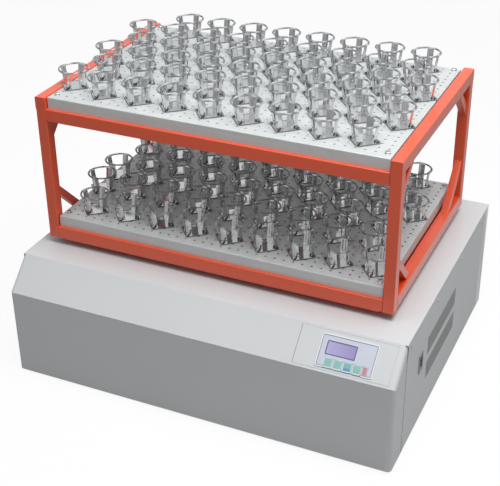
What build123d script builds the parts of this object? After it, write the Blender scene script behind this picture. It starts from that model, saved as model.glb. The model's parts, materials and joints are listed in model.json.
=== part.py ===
from build123d import *
import os
from math import atan2, cos, hypot, radians, sin

# Two-deck orbital platform shaker with sprung flask clamps.
# Millimetres. X runs right along the front, Y to the back, Z up from the floor.
# The origin is on the floor, under the middle of the cabinet.

# Cabinet
cabinet_width = 1100
cabinet_depth = 868
cabinet_height = 333
front_height = 255
slope_depth = 82
sheet = 2
corner_radius = 12
seam_gap = 0.5
fold = 22
back_wrap = 40
base_thickness = 3

# Rubber feet
foot_height = 8
foot_size = 48
foot_corner = 12
foot_inset_x = 80
foot_inset_y = 74

# Cover with its side flanges and their screws
cover_flange = 30
flange_gap = 0.4
screw_radius = 5
screw_height = 2
screw_sides = 8
screw_drop = 22
screw_inset = 32
screws_per_side = 4

# Control panel in the sloping face, measured from its right end and up the slope
control_width = 250
control_inset = 20
control_margin = 6
control_gap = 0.4
lip_width = 5
lip_hold = 3
fascia_inset = 45
fascia_width = 147
fascia_low = 12.5
fascia_height = 85
fascia_thickness = 1.5
fascia_bevel = 0.5
display_inset = 54
display_width = 74
display_low = 47.5
display_height = 32.5
display_sink = 0.5

# Keys, measured from the fascia's left edge and up the slope
key_width = 21
key_height = 25
key_pitch = 25
key_first = 32
key_low = 13
key_rise = 1.5
key_root = 5
key_chamfer = 1.5
key_gap = 0.4
key_travel = 1
red_key_centre = 126.5
red_key_width = 13
red_key_low = 16
red_key_height = 22

# Circuit board behind the keys
board_inset = 6
board_drop = 9
board_thickness = 1.6
board_post = 7
button_size = 6
button_gap = 0.15

# Vent bands in the right wall
vent_front = -160
vent_length = 265
vent_height = 55
vent_low = 103
vent_spacing = 77
vent_rim = 8
vent_lip = 3
slat_count = 6
slat_depth = 8
slat_thickness = 1.2
slat_tilt = 35

# Power rocker in the right wall
switch_y = -222
switch_height = 198
bezel_width = 34
bezel_tall = 55
bezel_proud = 2
switch_width = 28
switch_tall = 48
switch_depth = 24
switch_gap = 0.3
well_depth = 20
rocker_width = 22
rocker_tall = 39
rocker_gap = 0.4
rocker_end_gap = 2
rocker_arm = 9.5
rocker_dip = 3.5
rocker_back = 5
rocker_tilt = 10

# Mains inlet in the back wall
inlet_inset = 90
inlet_centre = 60
inlet_width = 48
inlet_height = 28
inlet_depth = 26
inlet_wall = 3
inlet_flange = 5
inlet_gap = 0.3
inlet_pin = 4
inlet_pin_pitch = 11

# Chassis inside the cabinet
beam_width = 90
beam_height = 50
beam_wall = 5
beam_front_gap = 89
beam_back_gap = 34
leg_depth = 40
leg_wall = 4
leg_inset = 6

# Orbit and cranks
orbit_radius = 17.5
rest_angle = 153.43
drive_y = 41
idler_x = 340
idler_front = 150
idler_rear = 190
shaft_radius = 12.5
pin_radius = 10
running_fit = 0.05
idler_fit = 0.3
arm_thickness = 13
arm_edge = 7.5
arm_chamfer = 8
arm_gap = 1
cover_gap = 3
shaft_end_gap = 1
pin_end_gap = 0.5

# Bearing housings on the beams and on the carrier plate
housing_height = 42
housing_radius = 26
housing_flange = 72
flange_thickness = 8
housing_drop = 48
housing_clearance = 0.5
carrier_housing_height = 28
carrier_housing_radius = 20
carrier_housing_flange = 60
carrier_flange_thickness = 6
carrier_cap = 1.5
pin_hole_gap = 4
cover_hole_gap = 4

# Counterweight, pulleys, belt and motor
counterweight_radius = 150
counterweight_hub = 30
counterweight_thickness = 36
counterweight_gap = 4
press_gap = 0.02
pulley_gap = 6
pulley_height = 36
driven_radius = 100
motor_pulley_radius = 30
shaft_tail = 4
belt_width = 25
belt_thickness = 5
belt_gap = 0.3
motor_distance = 225
motor_size = 120
motor_corner = 22
motor_head_gap = 10
motor_mount_size = 150
motor_mount_thickness = 8
motor_shaft_radius = 7
motor_shaft_depth = 16
motor_bore_gap = 2

# Speed controller on the base plate
controller_width = 160
controller_depth = 120
controller_height = 79
controller_inset = 90
controller_front = 150

# Two-deck frame of square tube
frame_width = 1000
frame_depth = 636
frame_height = 416
post_size = 30
rail_width = 30
rail_height = 35
tube_wall = 2
end_plate = 3
brace_width = 20
brace_depth = 20
upper_brace_leg = 90
lower_brace_leg = 115
platform_gap = 15
carrier_thickness = 6
carrier_inset_x = 40
carrier_inset_y = 6

# Trays
tray_fold = 31
tray_gap = 3
tray_setback = 18
tray_sheet = 2
bolt_head = 13
bolt_height = 6
bolt_inset_x = 15
bolt_inset_y = 16

# Flask clamps
hole_pitch_x = 25.6
hole_pitch_y = 23.7
holes_per_clamp = 4
clamps_per_row = 9
row_holes = (0, 5, 9, 13, 17, 21)
first_clamp = 63
last_clamp = 89
stagger = 48
upper_staggered_rows = (2, 4)
lower_staggered_rows = (1, 4)
short_row = 6
upper_clamp_moved = 1
clamp_turn = 40
clamp_base = 60
clamp_sheet = 2
finger_foot = 29
finger_width = 18
finger_sheet = 1.5
finger_height = 53
finger_flare = 8
spring_height = 49
spring_wire = 5.5
spring_thickness = 5
spring_overhang = 5

# Levels, from the floor up
cabinet_bottom = foot_height
base_top = cabinet_bottom + base_thickness
slope_bottom = cabinet_bottom + front_height
cabinet_top = cabinet_bottom + cabinet_height
cover_underside = cabinet_top - sheet
arm_top = cover_underside - cover_gap
arm_bottom = arm_top - arm_thickness
housing_top = arm_bottom - arm_gap
beam_top = housing_top - housing_height
beam_bottom = beam_top - beam_height
counterweight_top = beam_bottom - counterweight_gap
counterweight_bottom = counterweight_top - counterweight_thickness
pulley_top = counterweight_bottom - pulley_gap
pulley_bottom = pulley_top - pulley_height
frame_bottom = cabinet_top + platform_gap + carrier_thickness
frame_top = frame_bottom + frame_height
carrier_housing_top = frame_bottom + carrier_housing_height
pin_top = carrier_housing_top - carrier_cap - pin_end_gap
lower_rail_top = frame_bottom + rail_height
lower_tray_top = lower_rail_top + tray_fold
upper_rail_bottom = frame_top - rail_height
cross_rail_top = frame_top - tray_fold
cross_rail_bottom = cross_rail_top - rail_height

# Plan positions
side_x = cabinet_width / 2
front_y = -cabinet_depth / 2
back_y = cabinet_depth / 2
slope_back_y = front_y + slope_depth
slope_rise = cabinet_height - front_height
slope_length = hypot(slope_depth, slope_rise)
slope_angle = atan2(slope_rise, slope_depth)
orbit_offset = (orbit_radius * cos(radians(rest_angle)), orbit_radius * sin(radians(rest_angle)))
platform_x = orbit_offset[0]
platform_y = drive_y + orbit_offset[1]
frame_left = platform_x - frame_width / 2
frame_right = platform_x + frame_width / 2
frame_front = platform_y - frame_depth / 2
frame_back = platform_y + frame_depth / 2
tray_left = frame_left + rail_width + tray_gap
tray_right = frame_right - rail_width - tray_gap
tray_front = frame_front + tray_setback
tray_back = frame_back - tray_setback
drive_at = (0, drive_y)
motor_at = (-motor_distance, drive_y)
idler_places = {
    "front_left": (-idler_x, drive_y - idler_front),
    "front_right": (idler_x, drive_y - idler_front),
    "rear": (0, drive_y + idler_rear),
}
control_right = side_x - control_inset
control_left = control_right - control_width
fascia_right = control_right - fascia_inset
fascia_left = fascia_right - fascia_width
slope_plane = Plane(
    origin=(0, front_y, slope_bottom),
    x_dir=(1, 0, 0),
    z_dir=(0, -sin(slope_angle), cos(slope_angle)),
)

os.makedirs("parts", exist_ok=True)


def save(name, *pieces):
    """Write one sub-part, a single solid or a group of separate ones."""
    solids = [solid for piece in pieces for solid in piece.solids()]
    shape = solids[0] if len(solids) == 1 else Compound(children=solids)
    export_step(shape, f"parts/{name}.step")


def block(x, y, z):
    """A box between two bounds along each axis."""
    centre = Pos((x[0] + x[1]) / 2, (y[0] + y[1]) / 2, (z[0] + z[1]) / 2)
    return centre * Box(x[1] - x[0], y[1] - y[0], z[1] - z[0])


def around(centre, size):
    """The bounds of a size that lies centred on a place."""
    return (centre - size / 2, centre + size / 2)


def upright(radius, z, at=(0, 0)):
    """An upright cylinder between two heights."""
    return Pos(at[0], at[1], (z[0] + z[1]) / 2) * Cylinder(radius, z[1] - z[0])


def on_slope(x, s, depth):
    """A box on the sloping face: along X, up the slope and out of the face."""
    return slope_plane * block(x, s, depth)


def crossed(at):
    """The place of a crank's pin for a shaft at a place."""
    return (at[0] + orbit_offset[0], at[1] + orbit_offset[1])


def housing_outline(wall, reach):
    """Side outline of the front housing, drawn in by a wall and carried past its open sides."""
    corner = wall * (1 - sin(slope_angle)) / cos(slope_angle)
    inner_y = front_y + wall * sin(slope_angle)
    inner_z = slope_bottom - wall * cos(slope_angle)
    run = slope_length + reach
    top = (inner_y + run * cos(slope_angle), inner_z + run * sin(slope_angle))
    bend = (front_y + wall, inner_z + corner * sin(slope_angle))
    return [(front_y + wall, cabinet_bottom - reach), bend, top, (top[0], cabinet_bottom - reach)]


def housing_body(wall, reach):
    """The front housing as a solid with rounded side edges."""
    outline = Plane.YZ * Polygon(*housing_outline(wall, reach), align=None)
    body = extrude(outline, amount=side_x - wall, both=True)
    rounded = [edge for edge in body.edges() if is_side_edge(edge)]
    return fillet(rounded, corner_radius - wall)


def is_side_edge(edge):
    """True for the front and sloping edges at the two ends of the housing."""
    run = edge.position_at(1) - edge.position_at(0)
    middle = edge.position_at(0.5)
    steep = abs(run.Z) > sheet
    return steep and middle.Y < slope_back_y - sheet


def front_housing():
    """Vertical face, sloping control face and cheeks, folded at the foot and open behind."""
    shell = housing_body(0, 0) - housing_body(sheet, fold)
    foot = block(
        (corner_radius - side_x, side_x - corner_radius),
        (front_y + sheet, front_y + sheet + fold),
        (base_top, base_top + sheet),
    )
    across = (control_left, control_right)
    up = (control_margin, slope_length - control_margin)
    window = on_slope(across, up, (-sheet, sheet))
    lip = on_slope(
        (across[0] - lip_hold, across[1] + lip_hold),
        (up[0] - lip_hold, up[1] + lip_hold),
        (-2 * sheet, -sheet),
    )
    lip -= on_slope(
        (across[0] + lip_width, across[1] - lip_width),
        (up[0] + lip_width, up[1] - lip_width),
        (-2 * sheet, -sheet),
    )
    return shell + foot - window + lip


def key_bounds():
    """Each key's name with its bounds along X and up the slope."""
    bounds = {}
    for number in range(4):
        centre = fascia_left + key_first + number * key_pitch
        bounds[f"key_{number + 1}"] = (around(centre, key_width), (key_low, key_low + key_height))
    red = around(fascia_left + red_key_centre, red_key_width)
    bounds["stop_key"] = (red, (red_key_low, red_key_low + red_key_height))
    return bounds


def display_bounds():
    """The display's bounds along X and up the slope."""
    right = fascia_right - display_inset
    return ((right - display_width, right), (display_low, display_low + display_height))


def control_cutouts(depth):
    """The holes for the display and the keys through one layer of the control panel."""
    holes = [on_slope(*display_bounds(), depth)]
    for across, up in key_bounds().values():
        wide = (across[0] - key_gap, across[1] + key_gap)
        tall = (up[0] - key_gap, up[1] + key_gap)
        holes.append(on_slope(wide, tall, depth))
    return holes


def control_panel():
    """The plate that closes the slope's window."""
    plate = on_slope(
        (control_left + control_gap, control_right - control_gap),
        (control_margin + control_gap, slope_length - control_margin - control_gap),
        (-sheet, 0),
    )
    return plate - control_cutouts((-sheet, 0))


def control_fascia():
    """The raised fascia round the display and the keys."""
    plate = on_slope(
        (fascia_left, fascia_right),
        (fascia_low, fascia_low + fascia_height),
        (0, fascia_thickness),
    )
    outward = Axis(slope_plane.origin, slope_plane.z_dir)
    plate = chamfer(plate.faces().sort_by(outward)[-1].edges(), fascia_bevel)
    return plate - control_cutouts((0, fascia_thickness))


def display():
    """The display block, standing on the circuit board."""
    across, up = display_bounds()
    gap = key_gap
    return on_slope(
        (across[0] + gap, across[1] - gap),
        (up[0] + gap, up[1] - gap),
        (-sheet - board_drop, fascia_thickness - display_sink),
    )


def key(across, up):
    """A key cap with chamfered corners, guided by the fascia and the panel."""
    face = Rectangle(across[1] - across[0], up[1] - up[0])
    face = chamfer(face.vertices(), key_chamfer)
    low = -sheet - key_root
    high = fascia_thickness + key_rise
    place = slope_plane * Pos((across[0] + across[1]) / 2, (up[0] + up[1]) / 2, low)
    return place * extrude(face, high - low)


def control_board():
    """Circuit board on four posts under the control panel, with a button under each key."""
    top = -sheet - board_drop
    across = (fascia_left + board_inset, fascia_right - board_inset)
    up = (fascia_low, fascia_low + fascia_height)
    board = on_slope(across, up, (top - board_thickness, top))
    posts = []
    for x in (across[0] + board_post / 2, across[1] - board_post / 2):
        s = up[1] - board_post / 2
        posts.append(on_slope(around(x, board_post), around(s, board_post), (top, -sheet)))
    buttons = []
    for across_key, up_key in key_bounds().values():
        x = sum(across_key) / 2
        s = sum(up_key) / 2
        rise = -sheet - key_root - key_travel - button_gap
        buttons.append(on_slope(around(x, button_size), around(s, button_size), (top, rise)))
    return board + posts + buttons


def base_plate():
    """Floor of the cabinet, with its front corners rounded inside the housing."""
    gap = sheet + seam_gap
    plate = block(
        (gap - side_x, side_x - gap),
        (front_y + gap, back_y - gap),
        (cabinet_bottom, base_top),
    )
    front_edges = plate.edges().filter_by(Axis.Z).group_by(Axis.Y)[0]
    return fillet(front_edges, corner_radius)


def feet():
    """Four square rubber feet with cut corners."""
    places = [
        (x, y)
        for x in (foot_inset_x - side_x, side_x - foot_inset_x)
        for y in (front_y + foot_inset_y, back_y - foot_inset_y)
    ]
    foot = Box(foot_size, foot_size, foot_height)
    foot = chamfer(foot.edges().filter_by(Axis.Z), foot_corner)
    return [Pos(x, y, foot_height / 2) * foot for x, y in places]


def side_wall():
    """The right wall before its openings, with folds on the base plate and behind the housing."""
    front = slope_back_y + seam_gap
    back = back_y - back_wrap - seam_gap
    wall = block((side_x - sheet, side_x), (front, back), (cabinet_bottom, cover_underside))
    inside = side_x - sheet
    foot = block((inside - fold, inside), (front, back), (base_top, base_top + sheet))
    edge_top = cover_underside - cover_flange - sheet
    edge = block((inside - fold, inside), (front, front + sheet), (base_top, edge_top))
    return wall + foot + edge


def vent_bounds(number):
    """Bounds of one vent window along Y and Z."""
    low = cabinet_bottom + vent_low + number * vent_spacing
    return ((vent_front, vent_front + vent_length), (low, low + vent_height))


def right_wall():
    """The right wall with its two vent windows and the hole for the switch."""
    wall = side_wall()
    through = (side_x - sheet, side_x)
    for number in range(2):
        wall -= block(through, *vent_bounds(number))
    hole_y = around(switch_y, switch_width + 2 * switch_gap)
    hole_z = around(cabinet_bottom + switch_height, switch_tall + 2 * switch_gap)
    return wall - block(through, hole_y, hole_z)


def vent_grille(number):
    """A slatted insert held against the inside of the right wall."""
    along, up = vent_bounds(number)
    layer = (side_x - 2 * sheet, side_x - sheet)
    frame = block(
        layer,
        (along[0] - vent_rim, along[1] + vent_rim),
        (up[0] - vent_rim, up[1] + vent_rim),
    )
    frame -= block(
        layer,
        (along[0] + vent_lip, along[1] - vent_lip),
        (up[0] + vent_lip, up[1] - vent_lip),
    )
    pitch = (vent_height - 2 * vent_lip) / slat_count
    slats = []
    for row in range(slat_count):
        z = up[0] + vent_lip + (row + 0.5) * pitch
        slat = Box(slat_depth, vent_length - vent_lip, slat_thickness)
        slats.append(Pos(sum(layer) / 2, sum(along) / 2, z) * Rot(0, slat_tilt, 0) * slat)
    return frame + slats


def back_wall():
    """The back wall, wrapped round both rear corners, with a ledge under the cover."""
    inside = back_y - sheet
    wall = block((-side_x, side_x), (inside, back_y), (cabinet_bottom, cover_underside))
    inlet_x = side_x - inlet_inset
    inlet_z = cabinet_bottom + inlet_centre
    wall -= block(
        around(inlet_x, inlet_width + 2 * inlet_gap),
        (inside, back_y),
        around(inlet_z, inlet_height + 2 * inlet_gap),
    )
    for end in (-1, 1):
        cheek = sorted((end * side_x, end * (side_x - sheet)))
        wall += block(cheek, (back_y - back_wrap, inside), (cabinet_bottom, cover_underside))
    width = (fold - side_x, side_x - fold)
    foot = block(width, (inside - fold, inside), (base_top, base_top + sheet))
    ledge = block(width, (inside - fold, inside), (cover_underside - sheet, cover_underside))
    return wall + foot + ledge


def mains_inlet():
    """Mains socket with three pins, flush in the back wall and held by a flange inside it."""
    x = side_x - inlet_inset
    z = cabinet_bottom + inlet_centre
    inside = back_y - sheet
    body = block(around(x, inlet_width), (back_y - inlet_depth, back_y), around(z, inlet_height))
    flange = block(
        around(x, inlet_width + 2 * inlet_flange),
        (inside - sheet, inside),
        around(z, inlet_height + 2 * inlet_flange),
    )
    well = block(
        around(x, inlet_width - 2 * inlet_wall),
        (back_y - inlet_depth + inlet_wall, back_y),
        around(z, inlet_height - 2 * inlet_wall),
    )
    pins = []
    for column in (-1, 0, 1):
        pin_x = around(x + column * inlet_pin_pitch, inlet_pin)
        pin_y = (back_y - inlet_depth + inlet_wall, back_y - inlet_wall)
        pins.append(block(pin_x, pin_y, around(z, inlet_pin)))
    return body + flange - well + pins


def top_cover():
    """Flat cover with side flanges inside the walls and a hole for each crank pin to swing in."""
    front = slope_back_y + seam_gap
    cover = block((-side_x, side_x), (front, back_y), (cover_underside, cabinet_top))
    along = (front + fold, back_y - back_wrap - seam_gap)
    outer = side_x - sheet - flange_gap
    for end in (-1, 1):
        across = sorted((end * outer, end * (outer - sheet)))
        cover += block(across, along, (cover_underside - cover_flange, cover_underside))
    swing = orbit_radius + pin_radius + cover_hole_gap
    for at in (drive_at, *idler_places.values()):
        cover -= upright(swing, (cover_underside, cabinet_top), at)
    return cover


def cover_screws():
    """The screw heads along the top of both side walls."""
    head = extrude(RegularPolygon(screw_radius, screw_sides), screw_height / 2, both=True)
    front = slope_back_y + screw_inset
    back = back_y - back_wrap - screw_inset
    step = (back - front) / (screws_per_side - 1)
    heads = []
    for end in (-1, 1):
        for number in range(screws_per_side):
            centre = Pos(end * (side_x + screw_height / 2), front + number * step, cabinet_top - screw_drop)
            heads.append(centre * Rot(0, 90, 0) * head)
    return heads


def switch_housing():
    """The rocker's bezel and well, set into the right wall."""
    z = cabinet_bottom + switch_height
    bezel = block(
        (side_x, side_x + bezel_proud),
        around(switch_y, bezel_width),
        around(z, bezel_tall),
    )
    body = block(
        (side_x - switch_depth, side_x),
        around(switch_y, switch_width),
        around(z, switch_tall),
    )
    well = block(
        (side_x + bezel_proud - well_depth, side_x + bezel_proud),
        around(switch_y, rocker_width + 2 * rocker_gap),
        around(z, rocker_tall + 2 * rocker_end_gap),
    )
    return bezel + body - well


def rocker_pivot():
    """The rocker's axis: the raised tip just reaches the face of the bezel."""
    tilt = radians(rocker_tilt)
    reach = rocker_arm * cos(tilt) + rocker_tall / 2 * sin(tilt)
    return (side_x + bezel_proud - reach, cabinet_bottom + switch_height)


def power_rocker():
    """A dished rocker, tilted so that its upper half stands out."""
    half = rocker_tall / 2
    outline = Polygon(
        (rocker_arm, half),
        (rocker_arm - rocker_dip, 0),
        (rocker_arm, -half),
        (0, -half),
        (-rocker_back, -rocker_back),
        (-rocker_back, rocker_back),
        (0, half),
        align=None,
    )
    body = extrude(Plane.XZ * outline, rocker_width / 2, both=True)
    x, z = rocker_pivot()
    return Pos(x, switch_y, z) * Rot(0, rocker_tilt, 0) * body


def beam_bounds():
    """Where the chassis beams run along Y."""
    return (front_y + beam_front_gap, back_y - beam_back_gap)


def crossbeam(x, bored):
    """A folded channel that carries the bearing housings."""
    along = beam_bounds()
    beam = block(around(x, beam_width), along, (beam_bottom, beam_top))
    beam -= block(around(x, beam_width - 2 * beam_wall), along, (beam_bottom, beam_top - beam_wall))
    if bored:
        beam -= upright(housing_radius + housing_clearance, (beam_top - beam_wall, beam_top), drive_at)
    return beam


def chassis_legs():
    """Two box legs under each beam."""
    along = beam_bounds()
    legs = []
    for x in (-idler_x, 0, idler_x):
        for y in (along[0] + leg_inset + leg_depth / 2, along[1] - leg_inset - leg_depth / 2):
            leg = block(around(x, beam_width), around(y, leg_depth), (base_top, beam_bottom))
            leg -= block(
                around(x, beam_width - 2 * leg_wall),
                around(y, leg_depth - 2 * leg_wall),
                (base_top, beam_bottom),
            )
            legs.append(leg)
    return legs


def shaft_housing(at, bottom):
    """A flanged bearing housing on a beam."""
    flange = block(
        around(at[0], housing_flange),
        around(at[1], housing_flange),
        (beam_top, beam_top + flange_thickness),
    )
    barrel = upright(housing_radius, (bottom, housing_top), at)
    return flange + barrel - upright(shaft_radius + running_fit, (bottom, housing_top), at)


def carrier_housing(at, fit):
    """A flanged housing on the carrier plate, closed over the pin."""
    place = crossed(at)
    flange = block(
        around(place[0], carrier_housing_flange),
        around(place[1], carrier_housing_flange),
        (frame_bottom, frame_bottom + carrier_flange_thickness),
    )
    barrel = upright(carrier_housing_radius, (frame_bottom, carrier_housing_top), place)
    bore = upright(pin_radius + fit, (frame_bottom, carrier_housing_top - carrier_cap), place)
    return flange + barrel - bore


def crank(at, shaft_bottom):
    """An eccentric crank: shaft below, offset pin above, and a bevelled arm between them."""
    pin_at = crossed(at)
    width = 2 * (shaft_radius + arm_edge)
    arm = Box(orbit_radius + width, width, arm_thickness)
    arm = chamfer(arm.edges().filter_by(Axis.Z), arm_chamfer)
    middle = Pos((at[0] + pin_at[0]) / 2, (at[1] + pin_at[1]) / 2, (arm_bottom + arm_top) / 2)
    shaft = upright(shaft_radius, (shaft_bottom, arm_bottom), at)
    pin = upright(pin_radius, (arm_top, pin_top), pin_at)
    return shaft + middle * Rot(0, 0, rest_angle) * arm + pin


def counterweight():
    """A half disc with a hub, opposite the crank pin."""
    half = Circle(counterweight_radius)
    half -= Pos(counterweight_radius, 0) * Rectangle(2 * counterweight_radius, 2 * counterweight_radius)
    face = half + Circle(counterweight_hub) - Circle(shaft_radius + press_gap)
    place = Pos(drive_at[0], drive_at[1], counterweight_bottom) * Rot(0, 0, rest_angle)
    return place * extrude(face, counterweight_thickness)


def driven_pulley():
    """The large pulley under the counterweight."""
    wheel = upright(driven_radius, (pulley_bottom, pulley_top), drive_at)
    return wheel - upright(shaft_radius + press_gap, (pulley_bottom, pulley_top), drive_at)


def motor_pulley():
    """The small pulley with the motor's shaft."""
    wheel = upright(motor_pulley_radius, (pulley_bottom, pulley_top), motor_at)
    motor_top = pulley_bottom - motor_head_gap
    return wheel + upright(motor_shaft_radius, (motor_top - motor_shaft_depth, pulley_bottom), motor_at)


def belt_loop(grow):
    """The outline of the belt's loop, a clearance outside the pulleys."""
    wheels = Pos(*drive_at) * Circle(driven_radius + grow)
    wheels += Pos(*motor_at) * Circle(motor_pulley_radius + grow)
    return make_hull(wheels.edges())


def drive_belt():
    """The belt round both pulleys."""
    loop = belt_loop(belt_gap + belt_thickness) - belt_loop(belt_gap)
    middle = (pulley_bottom + pulley_top) / 2
    return Pos(0, 0, middle - belt_width / 2) * extrude(loop, belt_width)


def motor():
    """The drive motor's square body with cut corners, and the bore that its shaft turns in."""
    top = pulley_bottom - motor_head_gap
    body = block(
        around(motor_at[0], motor_size),
        around(motor_at[1], motor_size),
        (base_top + motor_mount_thickness, top),
    )
    body = chamfer(body.edges().filter_by(Axis.Z), motor_corner)
    depth = motor_shaft_depth + motor_bore_gap
    return body - upright(motor_shaft_radius + running_fit, (top - depth, top), motor_at)


def motor_mount():
    """The plate under the motor."""
    return block(
        around(motor_at[0], motor_mount_size),
        around(motor_at[1], motor_mount_size),
        (base_top, base_top + motor_mount_thickness),
    )


def speed_controller():
    """The closed box of the speed controller."""
    right = side_x - controller_inset
    front = front_y + controller_front
    return block(
        (right - controller_width, right),
        (front, front + controller_depth),
        (base_top, base_top + controller_height),
    )


def carrier_plate():
    """The plate under the frame, with a clearance hole for each crank pin."""
    plate = block(
        (frame_left + carrier_inset_x, frame_right - carrier_inset_x),
        (frame_front + carrier_inset_y, frame_back - carrier_inset_y),
        (frame_bottom - carrier_thickness, frame_bottom),
    )
    for at in (drive_at, *idler_places.values()):
        hole = (frame_bottom - carrier_thickness, frame_bottom)
        plate -= upright(pin_radius + pin_hole_gap, hole, crossed(at))
    return plate


def tube(x, y, z, axis):
    """A square tube between bounds, open at both ends along one axis."""
    bounds = [x, y, z]
    inner = [(low + tube_wall, high - tube_wall) for low, high in bounds]
    inner[axis] = bounds[axis]
    return block(*bounds) - block(*inner)


def frame_posts():
    """Four upright tubes, from the carrier plate to the upper side rails."""
    posts = []
    for x in (frame_left, frame_right - post_size):
        for y in (frame_front, frame_back - post_size):
            z = (frame_bottom, upper_rail_bottom)
            posts.append(tube((x, x + post_size), (y, y + post_size), z, 2))
    return posts


def side_rail_bounds():
    """Bounds along X of the rails on both sides."""
    return ((frame_left, frame_left + rail_width), (frame_right - rail_width, frame_right))


def upper_side_rails():
    """The rails on top of the posts, along the whole depth."""
    z = (upper_rail_bottom, frame_top)
    return [tube(x, (frame_front, frame_back), z, 1) for x in side_rail_bounds()]


def lower_side_rails():
    """The rails between the posts at the foot of the frame."""
    z = (frame_bottom, lower_rail_top)
    y = (frame_front + post_size, frame_back - post_size)
    return [tube(x, y, z, 1) for x in side_rail_bounds()]


def cross_rails(z):
    """The front and rear rails between the posts at one height."""
    x = (frame_left + post_size, frame_right - post_size)
    front = (frame_front, frame_front + rail_width)
    back = (frame_back - rail_width, frame_back)
    return [tube(x, front, z, 0), tube(x, back, z, 0)]


def rail_end_plates():
    """The plates that close the ends of the upper side rails."""
    plates = []
    for x in side_rail_bounds():
        across = (x[0] + tube_wall, x[1] - tube_wall)
        up = (upper_rail_bottom + tube_wall, frame_top - tube_wall)
        plates.append(block(across, (frame_front, frame_front + end_plate), up))
        plates.append(block(across, (frame_back - end_plate, frame_back), up))
    return plates


def brace_outline(corner_y, corner_z, toward_y, toward_z, leg):
    """A 45 degree bar between a post and a rail, cut to sit flat on both."""
    inner = leg - brace_width * 2 ** 0.5
    points = [(0, leg), (leg, 0), (inner, 0), (0, inner)]
    return [(corner_y + toward_y * y, corner_z + toward_z * z) for y, z in points]


def corner_braces():
    """Diagonal bars at the four corners of both side frames."""
    braces = []
    for x in side_rail_bounds():
        middle = sum(x) / 2
        for corner_y, toward_y in ((frame_front + post_size, 1), (frame_back - post_size, -1)):
            upper = brace_outline(corner_y, upper_rail_bottom, toward_y, -1, upper_brace_leg)
            lower = brace_outline(corner_y, lower_rail_top, toward_y, 1, lower_brace_leg)
            for points in (upper, lower):
                face = Plane.YZ * Polygon(*points, align=None)
                braces.append(Pos(middle, 0, 0) * extrude(face, brace_depth / 2, both=True))
    return braces


def tray(top):
    """A folded sheet tray, open below."""
    x = (tray_left, tray_right)
    y = (tray_front, tray_back)
    outer = block(x, y, (top - tray_fold, top))
    inner = block(
        (x[0] + tray_sheet, x[1] - tray_sheet),
        (y[0] + tray_sheet, y[1] - tray_sheet),
        (top - tray_fold, top - tray_sheet),
    )
    return outer - inner


def tray_bolts():
    """Hexagon heads at the corners of both trays."""
    heads = []
    face = RegularPolygon(bolt_head / 2, 6, major_radius=False)
    for top in (lower_tray_top, frame_top):
        for x in (tray_left + bolt_inset_x, tray_right - bolt_inset_x):
            for y in (tray_front + bolt_inset_y, tray_back - bolt_inset_y):
                heads.append(Pos(x, y, top) * extrude(face, bolt_height))
    return heads


def clamp_places(row, staggered, moved):
    """Where one row's clamps stand; the first row's leftmost is moved back by whole holes."""
    y = tray_front + first_clamp + row_holes[row - 1] * hole_pitch_y
    shift = stagger if row in staggered else 0
    count = clamps_per_row - 1 if row == short_row else clamps_per_row
    right = tray_right - last_clamp + shift
    places = [(right - number * holes_per_clamp * hole_pitch_x, y) for number in range(count)]
    if row == 1:
        places[-1] = (places[-1][0], y + moved * hole_pitch_y)
    return places


def finger_outline():
    """A flared finger seen from its side, from the clamp's base up."""
    tip = finger_foot + finger_flare
    return Polygon(
        (finger_foot - finger_sheet, clamp_sheet),
        (finger_foot, clamp_sheet),
        (tip, finger_height),
        (tip - finger_sheet, finger_height),
        align=None,
    )


def clamp_pieces():
    """One clamp at the origin: a square base with a flared finger on each corner."""
    base = Pos(0, 0, clamp_sheet / 2) * Box(clamp_base, clamp_base, clamp_sheet)
    finger = extrude(Plane.XZ * finger_outline(), finger_width / 2, both=True)
    return [base] + [Rot(0, 0, 45 + 90 * corner) * finger for corner in range(4)]


def finger_radius(height):
    """How far a finger's outer face is from the clamp's middle at a height."""
    share = (height - clamp_sheet) / (finger_height - clamp_sheet)
    return finger_foot + finger_flare * share


def octagon(radius, height):
    """An octagon with one side across each finger."""
    half = finger_width / 2 + spring_overhang
    points = [(radius, -half), (radius, half), (half, radius), (-half, radius)]
    points += [(-x, -y) for x, y in points]
    return Pos(0, 0, height) * Rot(0, 0, 45) * Polygon(*points, align=None)


def spring_ring():
    """The closed spring round the four fingers, seated on their outer faces."""
    low = spring_height - spring_wire / 2
    high = spring_height + spring_wire / 2
    bottom = octagon(finger_radius(low), low)
    middle = octagon(finger_radius(spring_height) + spring_thickness, spring_height)
    top = octagon(finger_radius(high), high)
    lower_half = loft([bottom, middle], ruled=True)
    upper_half = loft([middle, top], ruled=True)
    return lower_half + upper_half - loft([bottom, top], ruled=True)


def placed(pieces, places, deck):
    """Copies of the pieces at each place on a deck, turned as the clamps are."""
    copies = []
    for x, y in places:
        spot = Pos(x, y, deck) * Rot(0, 0, clamp_turn)
        copies += [spot * piece for piece in pieces]
    return copies


def save_clamps(deck_name, deck, staggered, moved=0):
    """Write one deck's clamps, two rows to a sub-part, and its springs."""
    clamp = clamp_pieces()
    all_places = []
    for number, group in enumerate(("front", "middle", "rear")):
        rows = (2 * number + 1, 2 * number + 2)
        places = [place for row in rows for place in clamp_places(row, staggered, moved)]
        save(f"{deck_name}_clamps_{group}", *placed(clamp, places, deck))
        all_places += places
    save(f"{deck_name}_clamp_springs", *placed([spring_ring()], all_places, deck))


# Cabinet
save("base_plate", base_plate())
save("rubber_feet", *feet())
save("front_housing", front_housing())
save("left_wall", mirror(side_wall(), Plane.YZ))
save("right_wall", right_wall())
save("back_wall", back_wall())
save("top_cover", top_cover())
save("cover_screws", *cover_screws())
save("vent_grilles", *[vent_grille(number) for number in range(2)])
save("mains_inlet", mains_inlet())
save("switch_housing", switch_housing())
save("power_rocker", power_rocker())

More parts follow.
